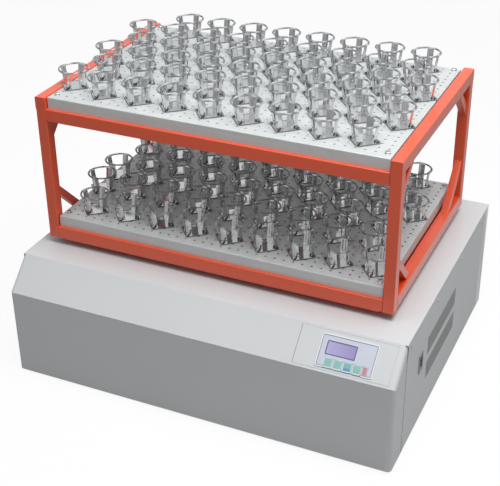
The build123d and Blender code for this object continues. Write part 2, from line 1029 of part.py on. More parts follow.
# Controls
save("control_panel", control_panel())
save("control_fascia", control_fascia())
save("display", display())
save("control_board", control_board())
for key_name, (key_across, key_up) in key_bounds().items():
    save(key_name, key(key_across, key_up))

# Chassis and drive
save("crossbeam_left", crossbeam(-idler_x, False))
save("crossbeam_middle", crossbeam(0, True))
save("crossbeam_right", crossbeam(idler_x, False))
save("chassis_legs", *chassis_legs())
drive_housing = shaft_housing(drive_at, beam_top - housing_drop)
save("bearing_housings", drive_housing, *[shaft_housing(at, beam_top) for at in idler_places.values()])
save("drive_crank", crank(drive_at, pulley_bottom - shaft_tail))
for idler_name, idler_at in idler_places.items():
    save(f"idler_crank_{idler_name}", crank(idler_at, beam_top + shaft_end_gap))
save("counterweight", counterweight())
save("driven_pulley", driven_pulley())
save("drive_belt", drive_belt())
save("motor_pulley", motor_pulley())
save("motor", motor())
save("motor_mount", motor_mount())
save("speed_controller", speed_controller())

# Platform
save("carrier_plate", carrier_plate())
drive_carrier = carrier_housing(drive_at, running_fit)
save("carrier_housings", drive_carrier, *[carrier_housing(at, idler_fit) for at in idler_places.values()])
save("frame_posts", *frame_posts())
save("upper_side_rails", *upper_side_rails())
save("lower_side_rails", *lower_side_rails())
save("upper_cross_rails", *cross_rails((cross_rail_bottom, cross_rail_top)))
save("lower_cross_rails", *cross_rails((frame_bottom, lower_rail_top)))
save("rail_end_plates", *rail_end_plates())
save("corner_braces", *corner_braces())
save("upper_tray", tray(frame_top))
save("lower_tray", tray(lower_tray_top))
save("tray_bolts", *tray_bolts())

# Flask clamps
save_clamps("upper", frame_top, upper_staggered_rows, upper_clamp_moved)
save_clamps("lower", lower_tray_top, lower_staggered_rows)
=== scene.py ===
import json
import logging
import math
from dataclasses import dataclass, field
from enum import Enum
from typing import Any, Iterable, Sequence

import bmesh
import bpy
from mathutils import Matrix, Vector

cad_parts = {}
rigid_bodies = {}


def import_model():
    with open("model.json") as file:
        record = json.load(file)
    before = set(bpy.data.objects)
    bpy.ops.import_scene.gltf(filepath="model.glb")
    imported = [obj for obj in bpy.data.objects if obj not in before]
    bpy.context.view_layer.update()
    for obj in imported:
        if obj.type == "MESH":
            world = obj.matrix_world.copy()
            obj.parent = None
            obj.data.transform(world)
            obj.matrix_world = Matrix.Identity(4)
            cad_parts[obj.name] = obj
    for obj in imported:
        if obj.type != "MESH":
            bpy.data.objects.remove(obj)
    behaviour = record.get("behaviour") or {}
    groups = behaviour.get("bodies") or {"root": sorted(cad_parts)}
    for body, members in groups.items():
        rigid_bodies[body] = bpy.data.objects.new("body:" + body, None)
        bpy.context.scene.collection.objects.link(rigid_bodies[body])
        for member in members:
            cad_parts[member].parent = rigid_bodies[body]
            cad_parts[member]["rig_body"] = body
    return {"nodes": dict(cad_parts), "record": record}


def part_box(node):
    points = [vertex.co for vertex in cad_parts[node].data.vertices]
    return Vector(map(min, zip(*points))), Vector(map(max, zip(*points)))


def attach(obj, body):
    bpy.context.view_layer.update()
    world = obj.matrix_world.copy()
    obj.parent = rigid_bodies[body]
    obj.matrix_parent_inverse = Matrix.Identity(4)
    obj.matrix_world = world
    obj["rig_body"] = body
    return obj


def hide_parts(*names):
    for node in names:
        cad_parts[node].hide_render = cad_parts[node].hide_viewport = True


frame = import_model()

logging.basicConfig(level=logging.INFO, format="%(message)s")
log = logging.getLogger("shaker")

Colour = tuple[float, float, float]
Profile = Sequence[tuple[float, float]]
Inputs = dict[str | int, Any]

# Faces that meet at more than the first angle keep a sharp edge, and below the second they are one face.
SHARP_ANGLE = math.radians(32)
FLAT_ANGLE = math.radians(0.6)
# Points closer than the first length are one point, and a fold is at least as long as the second.
MERGE_DISTANCE = 1e-5
FOLD_LENGTH = 0.05
SMALLEST_CORNER = 0.00005
RANDOM_SEED = 7


def tone(red: int, green: int, blue: int) -> Colour:
    """Turn a screen colour into the linear colour that a shader takes.

    Args:
        red: Level of red, 0 to 255.
        green: Level of green, 0 to 255.
        blue: Level of blue, 0 to 255.

    Returns:
        The linear colour.
    """

    def linear(level: int) -> float:
        """Linear share of one screen level."""
        share = level / 255
        return share / 12.92 if share <= 0.04045 else ((share + 0.055) / 1.055) ** 2.4

    return linear(red), linear(green), linear(blue)


# Node graphs


class Value:
    """A number on a socket that takes part in Python's arithmetic."""

    def __init__(self, graph: "Graph", socket: bpy.types.NodeSocket) -> None:
        """Keep the graph that new Math nodes go into, and the socket."""
        self.graph = graph
        self.socket = socket

    def _math(self, operation: str, *terms: "Value | float") -> "Value":
        """Add one Math node on the terms.

        Args:
            operation: The node's operation.
            terms: Its operands, in order.

        Returns:
            The node's result.
        """
        node = self.graph.add("ShaderNodeMath", {"operation": operation}, dict(enumerate(terms)))
        return Value(self.graph, node.outputs[0])

    def __add__(self, other: "Value | float") -> "Value":
        """This value plus another."""
        return self._math("ADD", self, other)

    def __sub__(self, other: "Value | float") -> "Value":
        """This value less another."""
        return self._math("SUBTRACT", self, other)

    def __rsub__(self, other: float) -> "Value":
        """A number less this value."""
        return self._math("SUBTRACT", other, self)

    def __mul__(self, other: "Value | float") -> "Value":
        """This value times another."""
        return self._math("MULTIPLY", self, other)

    def __truediv__(self, other: "Value | float") -> "Value":
        """This value over another."""
        return self._math("DIVIDE", self, other)

    def __rtruediv__(self, other: float) -> "Value":
        """A number over this value."""
        return self._math("DIVIDE", other, self)

    __radd__ = __add__
    __rmul__ = __mul__

    def sine(self) -> "Value":
        """The sine of this value."""
        return self._math("SINE", self)

    def cosine(self) -> "Value":
        """The cosine of this value."""
        return self._math("COSINE", self)

    def between(self, low: float, high: float) -> "Value":
        """Ramp from 0 to 1, held at both ends.

        Args:
            low: Where the ramp starts.
            high: Where it ends.

        Returns:
            The ramp's value.
        """
        node = self.graph.add(
            "ShaderNodeMapRange", {"clamp": True}, {"Value": self, "From Min": low, "From Max": high}
        )
        return Value(self.graph, node.outputs["Result"])

    def most(self, other: "Value | float") -> "Value":
        """The larger of this value and another."""
        return self._math("MAXIMUM", self, other)


class Graph:
    """Adds and links nodes in one node tree."""

    def __init__(self, tree: bpy.types.NodeTree) -> None:
        """Keep the tree."""
        self.tree = tree

    def add(
        self, kind: str, settings: dict[str, Any] | None = None, values: Inputs | None = None
    ) -> bpy.types.Node:
        """Add one node.

        Args:
            kind: The node's type.
            settings: Its own settings, such as a Math node's operation.
            values: A value or a link for each named or numbered socket.

        Returns:
            The node.
        """
        node = self.tree.nodes.new(kind)
        for name, setting in (settings or {}).items():
            setattr(node, name, setting)
        self.feed(node, values or {})
        return node

    def feed(self, node: bpy.types.Node, values: Inputs) -> None:
        """Set or link the named sockets of a node.

        Args:
            node: The node.
            values: A number, a colour, a Value or an output socket for each input socket.
        """
        for key, value in values.items():
            socket = node.inputs[key]
            if isinstance(value, Value):
                self.tree.links.new(value.socket, socket)
            elif isinstance(value, bpy.types.NodeSocket):
                self.tree.links.new(value, socket)
            elif socket.type == "RGBA" and len(value) == 3:
                socket.default_value = (*value, 1.0)
            else:
                socket.default_value = value

    def noise(self, place: bpy.types.NodeSocket, size: float, detail: float = 2.0) -> Value:
        """Soft random spots.

        Args:
            place: The coordinates that the pattern lies on.
            size: The size of a spot, in metres.
            detail: How many finer layers it has.

        Returns:
            A value round 0.5.
        """
        values = {"Vector": place, "Scale": 1 / size, "Detail": detail}
        return Value(self, self.add("ShaderNodeTexNoise", values=values).outputs[0])

    def blend(self, mask: Value, low: Colour, high: Colour) -> bpy.types.NodeSocket:
        """Mix two colours: low where the mask is 0, high where it is 1."""
        node = self.add("ShaderNodeMix", {"data_type": "RGBA"}, {0: mask, 6: low, 7: high})
        return node.outputs[2]

    def relief(self, height: Value, depth: float) -> bpy.types.NodeSocket:
        """Turn a height of 0 to 1 into a normal with a bump of a depth in metres."""
        return self.add("ShaderNodeBump", values={"Distance": depth, "Height": height}).outputs["Normal"]

    def stretched(self, place: bpy.types.NodeSocket, scale: Colour) -> bpy.types.NodeSocket:
        """Coordinates with each axis scaled."""
        return self.add("ShaderNodeMapping", values={"Vector": place, "Scale": scale}).outputs[0]

    def axes(self, place: bpy.types.NodeSocket) -> tuple[Value, Value, Value]:
        """The three parts of a vector."""
        node = self.add("ShaderNodeSeparateXYZ", values={0: place})
        return Value(self, node.outputs[0]), Value(self, node.outputs[1]), Value(self, node.outputs[2])


# Finishes


def shaded(colour: Colour, share: float) -> Colour:
    """A colour with its light scaled."""
    return colour[0] * share, colour[1] * share, colour[2] * share


def swung(level: Value | float, pattern: Value, swing: float) -> Value:
    """A level that a pattern round 0.5 raises and lowers."""
    return level + (pattern - 0.5) * swing


@dataclass(frozen=True)
class Finish:
    """A surface finish.

    Attributes:
        colour: Linear base colour.
        roughness: How dull the surface is, 0 to 1.
    """

    colour: Colour
    roughness: float

    def material(self, name: str) -> bpy.types.Material:
        """Build the finish.

        Args:
            name: The material's name.

        Returns:
            The material.
        """
        material = bpy.data.materials.new(name)
        material.use_nodes = True
        graph = Graph(material.node_tree)
        shader = material.node_tree.nodes["Principled BSDF"]
        place = graph.add("ShaderNodeTexCoord").outputs["Object"]
        graph.feed(shader, {"Base Color": self.colour, "Roughness": self.roughness})
        graph.feed(shader, self.inputs(graph, place))
        return material

    def inputs(self, graph: Graph, place: bpy.types.NodeSocket) -> Inputs:
        """Work out what sets this finish apart.

        Args:
            graph: The material's graph.
            place: Coordinates on the object, in metres.

        Returns:
            A value or a link for each socket of the surface shader that it changes.
        """
        raise NotImplementedError


@dataclass(frozen=True)
class PowderCoat(Finish):
    """Baked powder paint with a fine orange peel.

    Attributes:
        peel: Size of one dimple, in metres.
        depth: Depth of the dimples, in metres.
        gloss: Weight of the clear layer.
        coat: How dull the clear layer is.
        patch: Size of a patch of tone, in metres.
        shift: How much the tone drifts from patch to patch.
        mark: Size of a handling mark, in metres.
        wear: How much the marks change the gloss.
    """

    peel: float = 0.0022
    depth: float = 0.00006
    gloss: float = 0.1
    coat: float = 0.25
    patch: float = 0.22
    shift: float = 0.035
    mark: float = 0.03
    wear: float = 0.12

    def inputs(self, graph: Graph, place: bpy.types.NodeSocket) -> Inputs:
        """Dimples, a slow drift of tone, and handling marks in the gloss.

        Args:
            graph: The material's graph.
            place: Coordinates on the object, in metres.

        Returns:
            The sockets' values and links.
        """
        drift = graph.noise(place, self.patch)
        marks = graph.noise(place, self.mark, detail=4.0)
        dimples = graph.noise(place, self.peel, detail=1.0)
        low = shaded(self.colour, 1 - self.shift)
        high = shaded(self.colour, 1 + self.shift)
        return {
            "Base Color": graph.blend(drift, low, high),
            "Roughness": swung(self.roughness, marks, self.wear),
            "Coat Weight": self.gloss,
            "Coat Roughness": self.coat,
            "Normal": graph.relief(dimples, self.depth),
        }


@dataclass(frozen=True)
class SheetMetal(Finish):
    """Bare rolled or brushed sheet.

    Attributes:
        streak: Scale of the rolling marks along each axis.
        rolled: Share of the rolling marks in the tone. The rest is stains.
        patch: Size of a stain, in metres.
        turn: Where the marks and stains turn from the darker to the paler tone.
        stain: How far the tone changes.
        mark_wear: How much the rolling marks change the gloss.
        stain_wear: How much the stains change it.
        scratch: Depth of the rolling marks, in metres.
        metal: How far it reflects as metal does, 0 to 1.
    """

    streak: Colour = (3.0, 160.0, 160.0)
    rolled: float = 0.6
    patch: float = 0.04
    turn: tuple[float, float] = (0.3, 0.7)
    stain: float = 0.06
    mark_wear: float = 0.16
    stain_wear: float = 0.12
    scratch: float = 0.00001
    metal: float = 1.0

    def inputs(self, graph: Graph, place: bpy.types.NodeSocket) -> Inputs:
        """Rolling marks in tone and gloss, and soft stains.

        Args:
            graph: The material's graph.
            place: Coordinates on the object, in metres.

        Returns:
            The sockets' values and links.
        """
        marks = graph.noise(graph.stretched(place, self.streak), 1.0, detail=3.0)
        stains = graph.noise(place, self.patch, detail=3.0)
        mask = (marks * self.rolled + stains * (1 - self.rolled)).between(*self.turn)
        low = shaded(self.colour, 1 - self.stain)
        high = shaded(self.colour, 1 + self.stain)
        return {
            "Base Color": graph.blend(mask, low, high),
            "Metallic": self.metal,
            "Roughness": swung(swung(self.roughness, marks, self.mark_wear), stains, self.stain_wear),
            "Normal": graph.relief(marks, self.scratch),
        }


@dataclass(frozen=True)
class Moulded(Finish):
    """Moulded plastic or rubber with a fine spark grain.

    Attributes:
        grain: Size of one grain, in metres.
        depth: Depth of the grain, in metres.
        gloss: Weight of the clear layer.
        speck: Size of a speck of dust, in metres.
        dusty: Where dust starts and where it is complete.
        haze: How much dust dulls the surface.
        veil: Share of the colour that is left under dust, and the light that dust adds.
    """

    grain: float = 0.0006
    depth: float = 0.00003
    gloss: float = 0.0
    speck: float = 0.012
    dusty: tuple[float, float] = (0.45, 0.75)
    haze: float = 0.08
    veil: tuple[float, float] = (0.92, 0.02)

    def inputs(self, graph: Graph, place: bpy.types.NodeSocket) -> Inputs:
        """Spark grain, and slight dust.

        Args:
            graph: The material's graph.
            place: Coordinates on the object, in metres.

        Returns:
            The sockets' values and links.
        """
        grain = graph.noise(place, self.grain, detail=1.0)
        dust = graph.noise(place, self.speck, detail=4.0).between(*self.dusty)
        left, added = self.veil
        pale = tuple(part * left + added for part in self.colour)
        return {
            "Base Color": graph.blend(dust, self.colour, pale),
            "Roughness": self.roughness + dust * self.haze,
            "Coat Weight": self.gloss,
            "Normal": graph.relief(grain, self.depth),
        }


@dataclass(frozen=True)
class CastIron(Finish):
    """Machined and blued iron with the pores of a casting.

    Attributes:
        pore: Size of a pore, in metres.
        depth: Depth of the pores, in metres.
        patch: Size of a patch of tone, in metres.
        tones: Share of the base colour in the dark and the pale patches.
        metal: How far it reflects as metal does, 0 to 1.
        wear: How much the pores change the gloss.
    """

    pore: float = 0.0015
    depth: float = 0.0001
    patch: float = 0.03
    tones: tuple[float, float] = (0.75, 1.2)
    metal: float = 0.7
    wear: float = 0.3

    def inputs(self, graph: Graph, place: bpy.types.NodeSocket) -> Inputs:
        """Pores in the gloss, and clouds of tone.

        Args:
            graph: The material's graph.
            place: Coordinates on the object, in metres.

        Returns:
            The sockets' values and links.
        """
        pores = graph.noise(place, self.pore, detail=4.0)
        cloud = graph.noise(place, self.patch)
        low, high = (shaded(self.colour, share) for share in self.tones)
        return {
            "Base Color": graph.blend(cloud, low, high),
            "Metallic": self.metal,
            "Roughness": swung(self.roughness, pores, self.wear),
            "Normal": graph.relief(pores, self.depth),
        }


@dataclass(frozen=True)
class TwoTone(Finish):
    """Moulded plastic or glass whose colour changes along one axis.

    Attributes:
        second: The colour past the change.
        axis: Index of the axis that it changes along.
        start: Where the change starts, in metres.
        end: Where it is complete, in metres.
        gloss: Weight of the clear layer.
        speck: Size of a spot in the tone and the gloss, in metres.
        blur: How far the spots shift the change.
        wear: How much they change the gloss.
        grain: Size of one grain, in metres.
        depth: Depth of the grain, in metres.
    """

    second: Colour = (0.5, 0.5, 0.5)
    axis: int = 0
    start: float = 0.0
    end: float = 1.0
    gloss: float = 0.3
    speck: float = 0.004
    blur: float = 0.12
    wear: float = 0.08
    grain: float = 0.0008
    depth: float = 0.00001

    def inputs(self, graph: Graph, place: bpy.types.NodeSocket) -> Inputs:
        """One tone runs into the other, under a faint grain.

        Args:
            graph: The material's graph.
            place: Coordinates on the object, in metres.

        Returns:
            The sockets' values and links.
        """
        along = graph.axes(place)[self.axis].between(self.start, self.end)
        spots = graph.noise(place, self.speck, detail=3.0)
        mask = swung(along, spots, self.blur)
        return {
            "Base Color": graph.blend(mask, self.colour, self.second),
            "Roughness": swung(self.roughness, spots, self.wear),
            "Coat Weight": self.gloss,
            "Normal": graph.relief(graph.noise(place, self.grain, detail=1.0), self.depth),
        }


@dataclass(frozen=True)
class CircuitBoard(Finish):
    """Green lacquered board with copper tracks.

    Attributes:
        track: Colour of a track under the lacquer.
        waves: How closely the tracks follow one another across and along the board.
        rim: Where a track's edge starts and where it is complete.
        matt: How much duller a track is.
        depth: Height of a track, in metres.
    """

    track: Colour = tone(50, 120, 70)
    waves: tuple[float, float] = (900.0, 1100.0)
    rim: tuple[float, float] = (0.6, 0.7)
    matt: float = 0.1
    depth: float = 0.00003

    def inputs(self, graph: Graph, place: bpy.types.NodeSocket) -> Inputs:
        """Square runs of track under the lacquer.

        Args:
            graph: The material's graph.
            place: Coordinates on the object, in metres.

        Returns:
            The sockets' values and links.
        """
        across, along, _ = graph.axes(place)
        run = (across * self.waves[0]).sine() + (along * self.waves[1]).sine()
        tracks = run.between(*self.rim)
        return {
            "Base Color": graph.blend(tracks, self.colour, self.track),
            "Roughness": self.roughness + tracks * self.matt,
            "Normal": graph.relief(tracks, self.depth),
        }


class Steel(Enum):
    """How a bare metal piece is worked."""

    POLISHED = 0.14
    SPRUNG = 0.60
    BRUSHED = 0.42
    GROUND = 0.28


FINISHES: dict[str, Finish] = {
    "cabinet_paint": PowderCoat(tone(206, 209, 211), 0.42, shift=0.02),
    "floor_steel": SheetMetal((0.55, 0.56, 0.57), 0.45),
    "foot_rubber": Moulded(tone(38, 38, 40), 0.75, grain=0.001),
    "screw_steel": SheetMetal((0.56, 0.56, 0.57), Steel.GROUND.value, streak=(220.0, 220.0, 30.0)),
    "grille_paint": PowderCoat(tone(146, 149, 148), 0.6, gloss=0.0),
    "black_plastic": Moulded(tone(34, 34, 36), 0.42, gloss=0.2),
    "fascia_plastic": Moulded(tone(198, 204, 218), 0.5, gloss=0.1),
    "display_lens": TwoTone(tone(172, 167, 212), 0.16, second=tone(150, 141, 196), gloss=0.8),
    "circuit_board": CircuitBoard(tone(18, 84, 48), 0.35),
    "key_teal": Moulded(tone(138, 186, 180), 0.45, gloss=0.15),
    "key_red": Moulded(tone(196, 130, 138), 0.45, gloss=0.15),
    "chassis_paint": PowderCoat(tone(62, 63, 66), 0.55, gloss=0.0),
    "housing_iron": CastIron((0.20, 0.20, 0.21), 0.5),
    "crank_steel": SheetMetal((0.55, 0.56, 0.57), Steel.GROUND.value, streak=(120.0, 120.0, 20.0)),
    "pulley_aluminium": SheetMetal((0.72, 0.73, 0.74), 0.3, streak=(150.0, 150.0, 30.0)),
    "belt_rubber": Moulded(tone(30, 30, 32), 0.7, grain=0.0012, depth=0.0001),
    "motor_shell": PowderCoat(tone(70, 74, 82), 0.5, peel=0.001),
    "controller_case": PowderCoat(tone(150, 152, 154), 0.5),
    "frame_paint": PowderCoat(tone(230, 82, 38), 0.34, gloss=0.7, shift=0.05),
    "tray_sheet": SheetMetal(
        tone(204, 208, 208), Steel.BRUSHED.value, streak=(4.0, 130.0, 130.0), metal=0.15
    ),
    "clamp_steel": SheetMetal((0.72, 0.73, 0.74), Steel.POLISHED.value, streak=(60.0, 60.0, 14.0)),
    "spring_steel": SheetMetal((0.38, 0.39, 0.40), Steel.SPRUNG.value, streak=(80.0, 80.0, 80.0), metal=0.7),
}


class Wardrobe:
    """The finishes as materials, by the record's slot, and the slot of each CAD node."""

    def __init__(self) -> None:
        """Build every slot's material and read which node has which slot."""
        self.materials = {slot: finish.material(slot) for slot, finish in FINISHES.items()}
        self.slots = {part["node"]: part["material_slot"] for part in frame["record"]["subparts"]}

    def dress_nodes(self) -> None:
        """Give every CAD node the material of its slot."""
        for node, slot in self.slots.items():
            mesh = frame["nodes"][node].data
            mesh.materials.clear()
            mesh.materials.append(self.materials[slot])


wardrobe = Wardrobe()


# Meshes


@dataclass(frozen=True)
class RoundedOutline:
    """A rectangle with round corners about the origin.

    Attributes:
        width: Size along the first axis.
        height: Size along the second axis.
        corner: Radius of the corners.
        steps: How many edges each corner has.
    """

    width: float
    height: float
    corner: float
    steps: int = 4

    def loop(self, inset: float, level: float) -> list[Vector]:
        """Find the points of one turn of the outline.

        Args:
            inset: How far it is drawn in.
            level: Its level.

        Returns:
            The points.
        """
        corner = max(self.corner - inset, SMALLEST_CORNER)
        half_x = self.width / 2 - inset - corner
        half_y = self.height / 2 - inset - corner
        points = []
        for quarter, (side_x, side_y) in enumerate(((1, 1), (-1, 1), (-1, -1), (1, -1))):
            for step in range(self.steps + 1):
                angle = math.radians(90 * (quarter + step / self.steps))
                x = side_x * half_x + corner * math.cos(angle)
                y = side_y * half_y + corner * math.sin(angle)
                points.append(Vector((x, y, level)))
        return points


@dataclass(frozen=True)
class RegularOutline:
    """A circle or a regular polygon about the origin.

    Attributes:
        radius: Distance of the points from the middle.
        sides: How many points it has.
    """

    radius: float
    sides: int

    def loop(self, inset: float, level: float) -> list[Vector]:
        """Find the points of one turn of the outline.

        Args:
            inset: How far it is drawn in.
            level: Its level.

        Returns:
            The points.
        """
        reach = self.radius - inset
        turn = math.tau / self.sides
        return [
            Vector((reach * math.cos(turn * n), reach * math.sin(turn * n), level))
            for n in range(self.sides)
        ]


Outline = RoundedOutline | RegularOutline


class Shape:
    """A mesh in the making."""

    def __init__(self) -> None:
        """Start empty."""
        self.mesh = bmesh.new()

    @classmethod
    def of_node(cls, node: str) -> "Shape":
        """Copy a CAD node's mesh, merged and with its flat faces joined.

        Args:
            node: The node's name.

        Returns:
            The copy.
        """
        shape = cls()
        shape.mesh.from_mesh(frame["nodes"][node].data)
        bmesh.ops.remove_doubles(shape.mesh, verts=shape.mesh.verts, dist=MERGE_DISTANCE)
        bmesh.ops.dissolve_limit(
            shape.mesh, angle_limit=FLAT_ANGLE, verts=shape.mesh.verts, edges=shape.mesh.edges
        )
        for layer in list(shape.mesh.loops.layers.float_vector):
            shape.mesh.loops.layers.float_vector.remove(layer)
        return shape

    def loft(self, outline: Outline, profile: Profile, ring: bool = False) -> "Shape":
        """Stack an outline along a profile.

        Args:
            outline: The outline that is repeated.
            profile: An inset and a level for each repeat.
            ring: Whether the last repeat joins the first, instead of both being capped.

        Returns:
            This shape.
        """
        loops = [
            [self.mesh.verts.new(point) for point in outline.loop(inset, level)]
            for inset, level in profile
        ]
        self.bridge(loops + loops[:1] if ring else loops)
        if not ring:
            self.mesh.faces.new(list(reversed(loops[0])))
            self.mesh.faces.new(loops[-1])
        return self

    def strip(self, lower: Sequence[bmesh.types.BMVert], upper: Sequence[bmesh.types.BMVert]) -> None:
        """Join two open rows that have as many points each."""
        for n in range(len(lower) - 1):
            self.mesh.faces.new((lower[n], lower[n + 1], upper[n + 1], upper[n]))

    def bridge(self, loops: Sequence[Sequence[bmesh.types.BMVert]]) -> None:
        """Join closed loops that have as many points each, each loop to the next."""
        for lower, upper in zip(loops, loops[1:]):
            self.strip([*lower, lower[0]], [*upper, upper[0]])

    def moved(self, place: Matrix) -> "Shape":
        """Move the whole shape by a matrix."""
        bmesh.ops.transform(self.mesh, matrix=place, verts=self.mesh.verts)
        return self

    def add(self, other: "Shape", place: Matrix | None = None) -> "Shape":
        """Take in another shape.

        Args:
            other: The other shape, which is used up.
            place: A matrix that moves it first, where there is one.

        Returns:
            This shape.
        """
        if place is not None:
            other.moved(place)
        spare = bpy.data.meshes.new("spare")
        other.mesh.to_mesh(spare)
        self.mesh.from_mesh(spare)
        bpy.data.meshes.remove(spare)
        other.mesh.free()
        return self

    def cut(self, place: Vector, along: Vector) -> "Shape":
        """Cut every face at a plane, so that the tone of a rounding doesn't run past it.

        Args:
            place: A point of the plane.
            along: The plane's normal.

        Returns:
            This shape.
        """
        parts = list(self.mesh.verts) + list(self.mesh.edges) + list(self.mesh.faces)
        bmesh.ops.bisect_plane(self.mesh, geom=parts, plane_co=place, plane_no=along, dist=MERGE_DISTANCE)
        return self

    def without(self, low: Vector, high: Vector) -> "Shape":
        """Take away what lies between two corners, seen from above, and close the cut ends.

        Args:
            low: The lower corner.
            high: The higher corner.

        Returns:
            This shape.
        """
        for axis, along in enumerate((Vector((1.0, 0.0, 0.0)), Vector((0.0, 1.0, 0.0)))):
            for corner in (low, high):
                self.cut(along * corner[axis], along)
        doomed = []
        for face in self.mesh.faces:
            middle = face.calc_center_median()
            if all(low[axis] < middle[axis] < high[axis] for axis in range(2)):
                doomed.append(face)
        bmesh.ops.delete(self.mesh, geom=doomed, context="FACES")
        ends = [edge for edge in self.mesh.edges if edge.is_boundary]
        bmesh.ops.holes_fill(self.mesh, edges=ends, sides=4)
        return self

    def prism(self, outline: Profile, low: float, high: float) -> "Shape":
        """Add a straight prism along the first axis.

        Args:
            outline: Its outline, given along the second and the third axis.
            low: Where it starts.
            high: Where it ends.

        Returns:
            This shape.
        """
        ends = [[self.mesh.verts.new((level, y, z)) for y, z in outline] for level in (low, high)]
        self.bridge(ends)
        self.mesh.faces.new(list(reversed(ends[0])))
        self.mesh.faces.new(ends[1])
        return self

    def soften(self, width: float, steps: int = 2, shortest: float = 0.0, outer: bool = False) -> "Shape":
        """Round the sharp edges.

        Args:
            width: How far each rounding reaches from its edge.
            steps: How many faces it has.
            shortest: Edges shorter than this stay as they are.
            outer: Whether only edges that stand out are rounded.

        Returns:
            This shape.
        """
        self.mesh.normal_update()
        edges = [
            edge
            for edge in self.mesh.edges
            if edge.is_manifold
            and edge.calc_face_angle() > SHARP_ANGLE
            and edge.calc_length() >= shortest
            and (edge.is_convex or not outer)
        ]
        bmesh.ops.bevel(
            self.mesh,
            geom=edges,
            offset=width,
            offset_type="OFFSET",
            segments=steps,
            profile=0.5,
            affect="EDGES",
            clamp_overlap=True,
        )
        return self

    def fold(self, width: float) -> "Shape":
        """Round the folds, which are the long edges that stand out."""
        return self.soften(width, 3, shortest=FOLD_LENGTH, outer=True)

    def outward(self) -> "Shape":
        """Turn every face outwards."""
        bmesh.ops.recalc_face_normals(self.mesh, faces=self.mesh.faces)
        return self

    def object(self, name: str) -> bpy.types.Object:
        """Turn the shape into an object with smooth faces and sharp edges.

        Args:
            name: The object's name.

        Returns:
            The object, linked to the scene.
        """
        mesh = bpy.data.meshes.new(name)
        self.mesh.to_mesh(mesh)
        self.mesh.free()
        mesh.shade_smooth()
        mesh.set_sharp_from_angle(angle=SHARP_ANGLE)
        thing = bpy.data.objects.new(name, mesh)
        bpy.context.scene.collection.objects.link(thing)
        weights = thing.modifiers.new("weights", "WEIGHTED_NORMAL")
        weights.keep_sharp = True
        depsgraph = bpy.context.evaluated_depsgraph_get()
        even = bpy.data.meshes.new_from_object(thing.evaluated_get(depsgraph))
        thing.modifiers.remove(weights)
        thing.data = even
        bpy.data.meshes.remove(mesh)
        even.name = name
        return thing


def settle(
    thing: bpy.types.Object,
    nodes: Sequence[str],
    material: bpy.types.Material | None = None,
    hides: bool = True,
) -> bpy.types.Object:
    """Make an object a piece of the part.

    Args:
        thing: The object.
        nodes: The CAD nodes that it stands for, or lies on. The first gives its body and slot.
        material: Its material, where that isn't its slot's.
        hides: Whether it replaces the nodes.

    Returns:
        The object.
    """
    slot = wardrobe.slots[nodes[0]]
    thing.data.materials.clear()
    thing.data.materials.append(material or wardrobe.materials[slot])
    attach(thing, frame["nodes"][nodes[0]]["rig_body"])
    if hides:
        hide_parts(*nodes)
    log.info("%s: %d faces", thing.name, len(thing.data.polygons))
    return thing


def refined(
    node: str,
    piece: str,
    width: float,
    steps: int = 2,
    fold: float = 0.0,
    material: bpy.types.Material | None = None,
) -> bpy.types.Object:
    """Replace a CAD node by a copy with rounded edges.

    Args:
        node: The node.
        piece: The new piece's name.
        width: Rounding of every sharp edge.
        steps: How many faces each rounding has.
        fold: Wider rounding of the folds, where there is one.
        material: Its material, where that isn't its slot's.

    Returns:
        The new piece.
    """
    shape = Shape.of_node(node)
    if fold:
        shape.fold(fold)
    shape.soften(width, steps)
    return settle(shape.object(piece), [node], material)


def islands(node: str) -> list[tuple[Vector, Vector]]:
    """Find the bounds of each separate solid of a CAD node.

    Args:
        node: The node.

    Returns:
        The lowest and the highest corner of each.
    """
    shape = Shape.of_node(node)
    unseen = set(shape.mesh.verts)
    found = []
    while unseen:
        reach = [unseen.pop()]
        group = []
        while reach:
            vert = reach.pop()
            group.append(vert.co.copy())
            for edge in vert.link_edges:
                other = edge.other_vert(vert)
                if other in unseen:
                    unseen.remove(other)
                    reach.append(other)
        low = Vector([min(point[axis] for point in group) for axis in range(3)])
        high = Vector([max(point[axis] for point in group) for axis in range(3)])
        found.append((low, high))
    shape.mesh.free()
    return sorted(found, key=lambda pair: tuple(pair[0]))


# Geometry Nodes


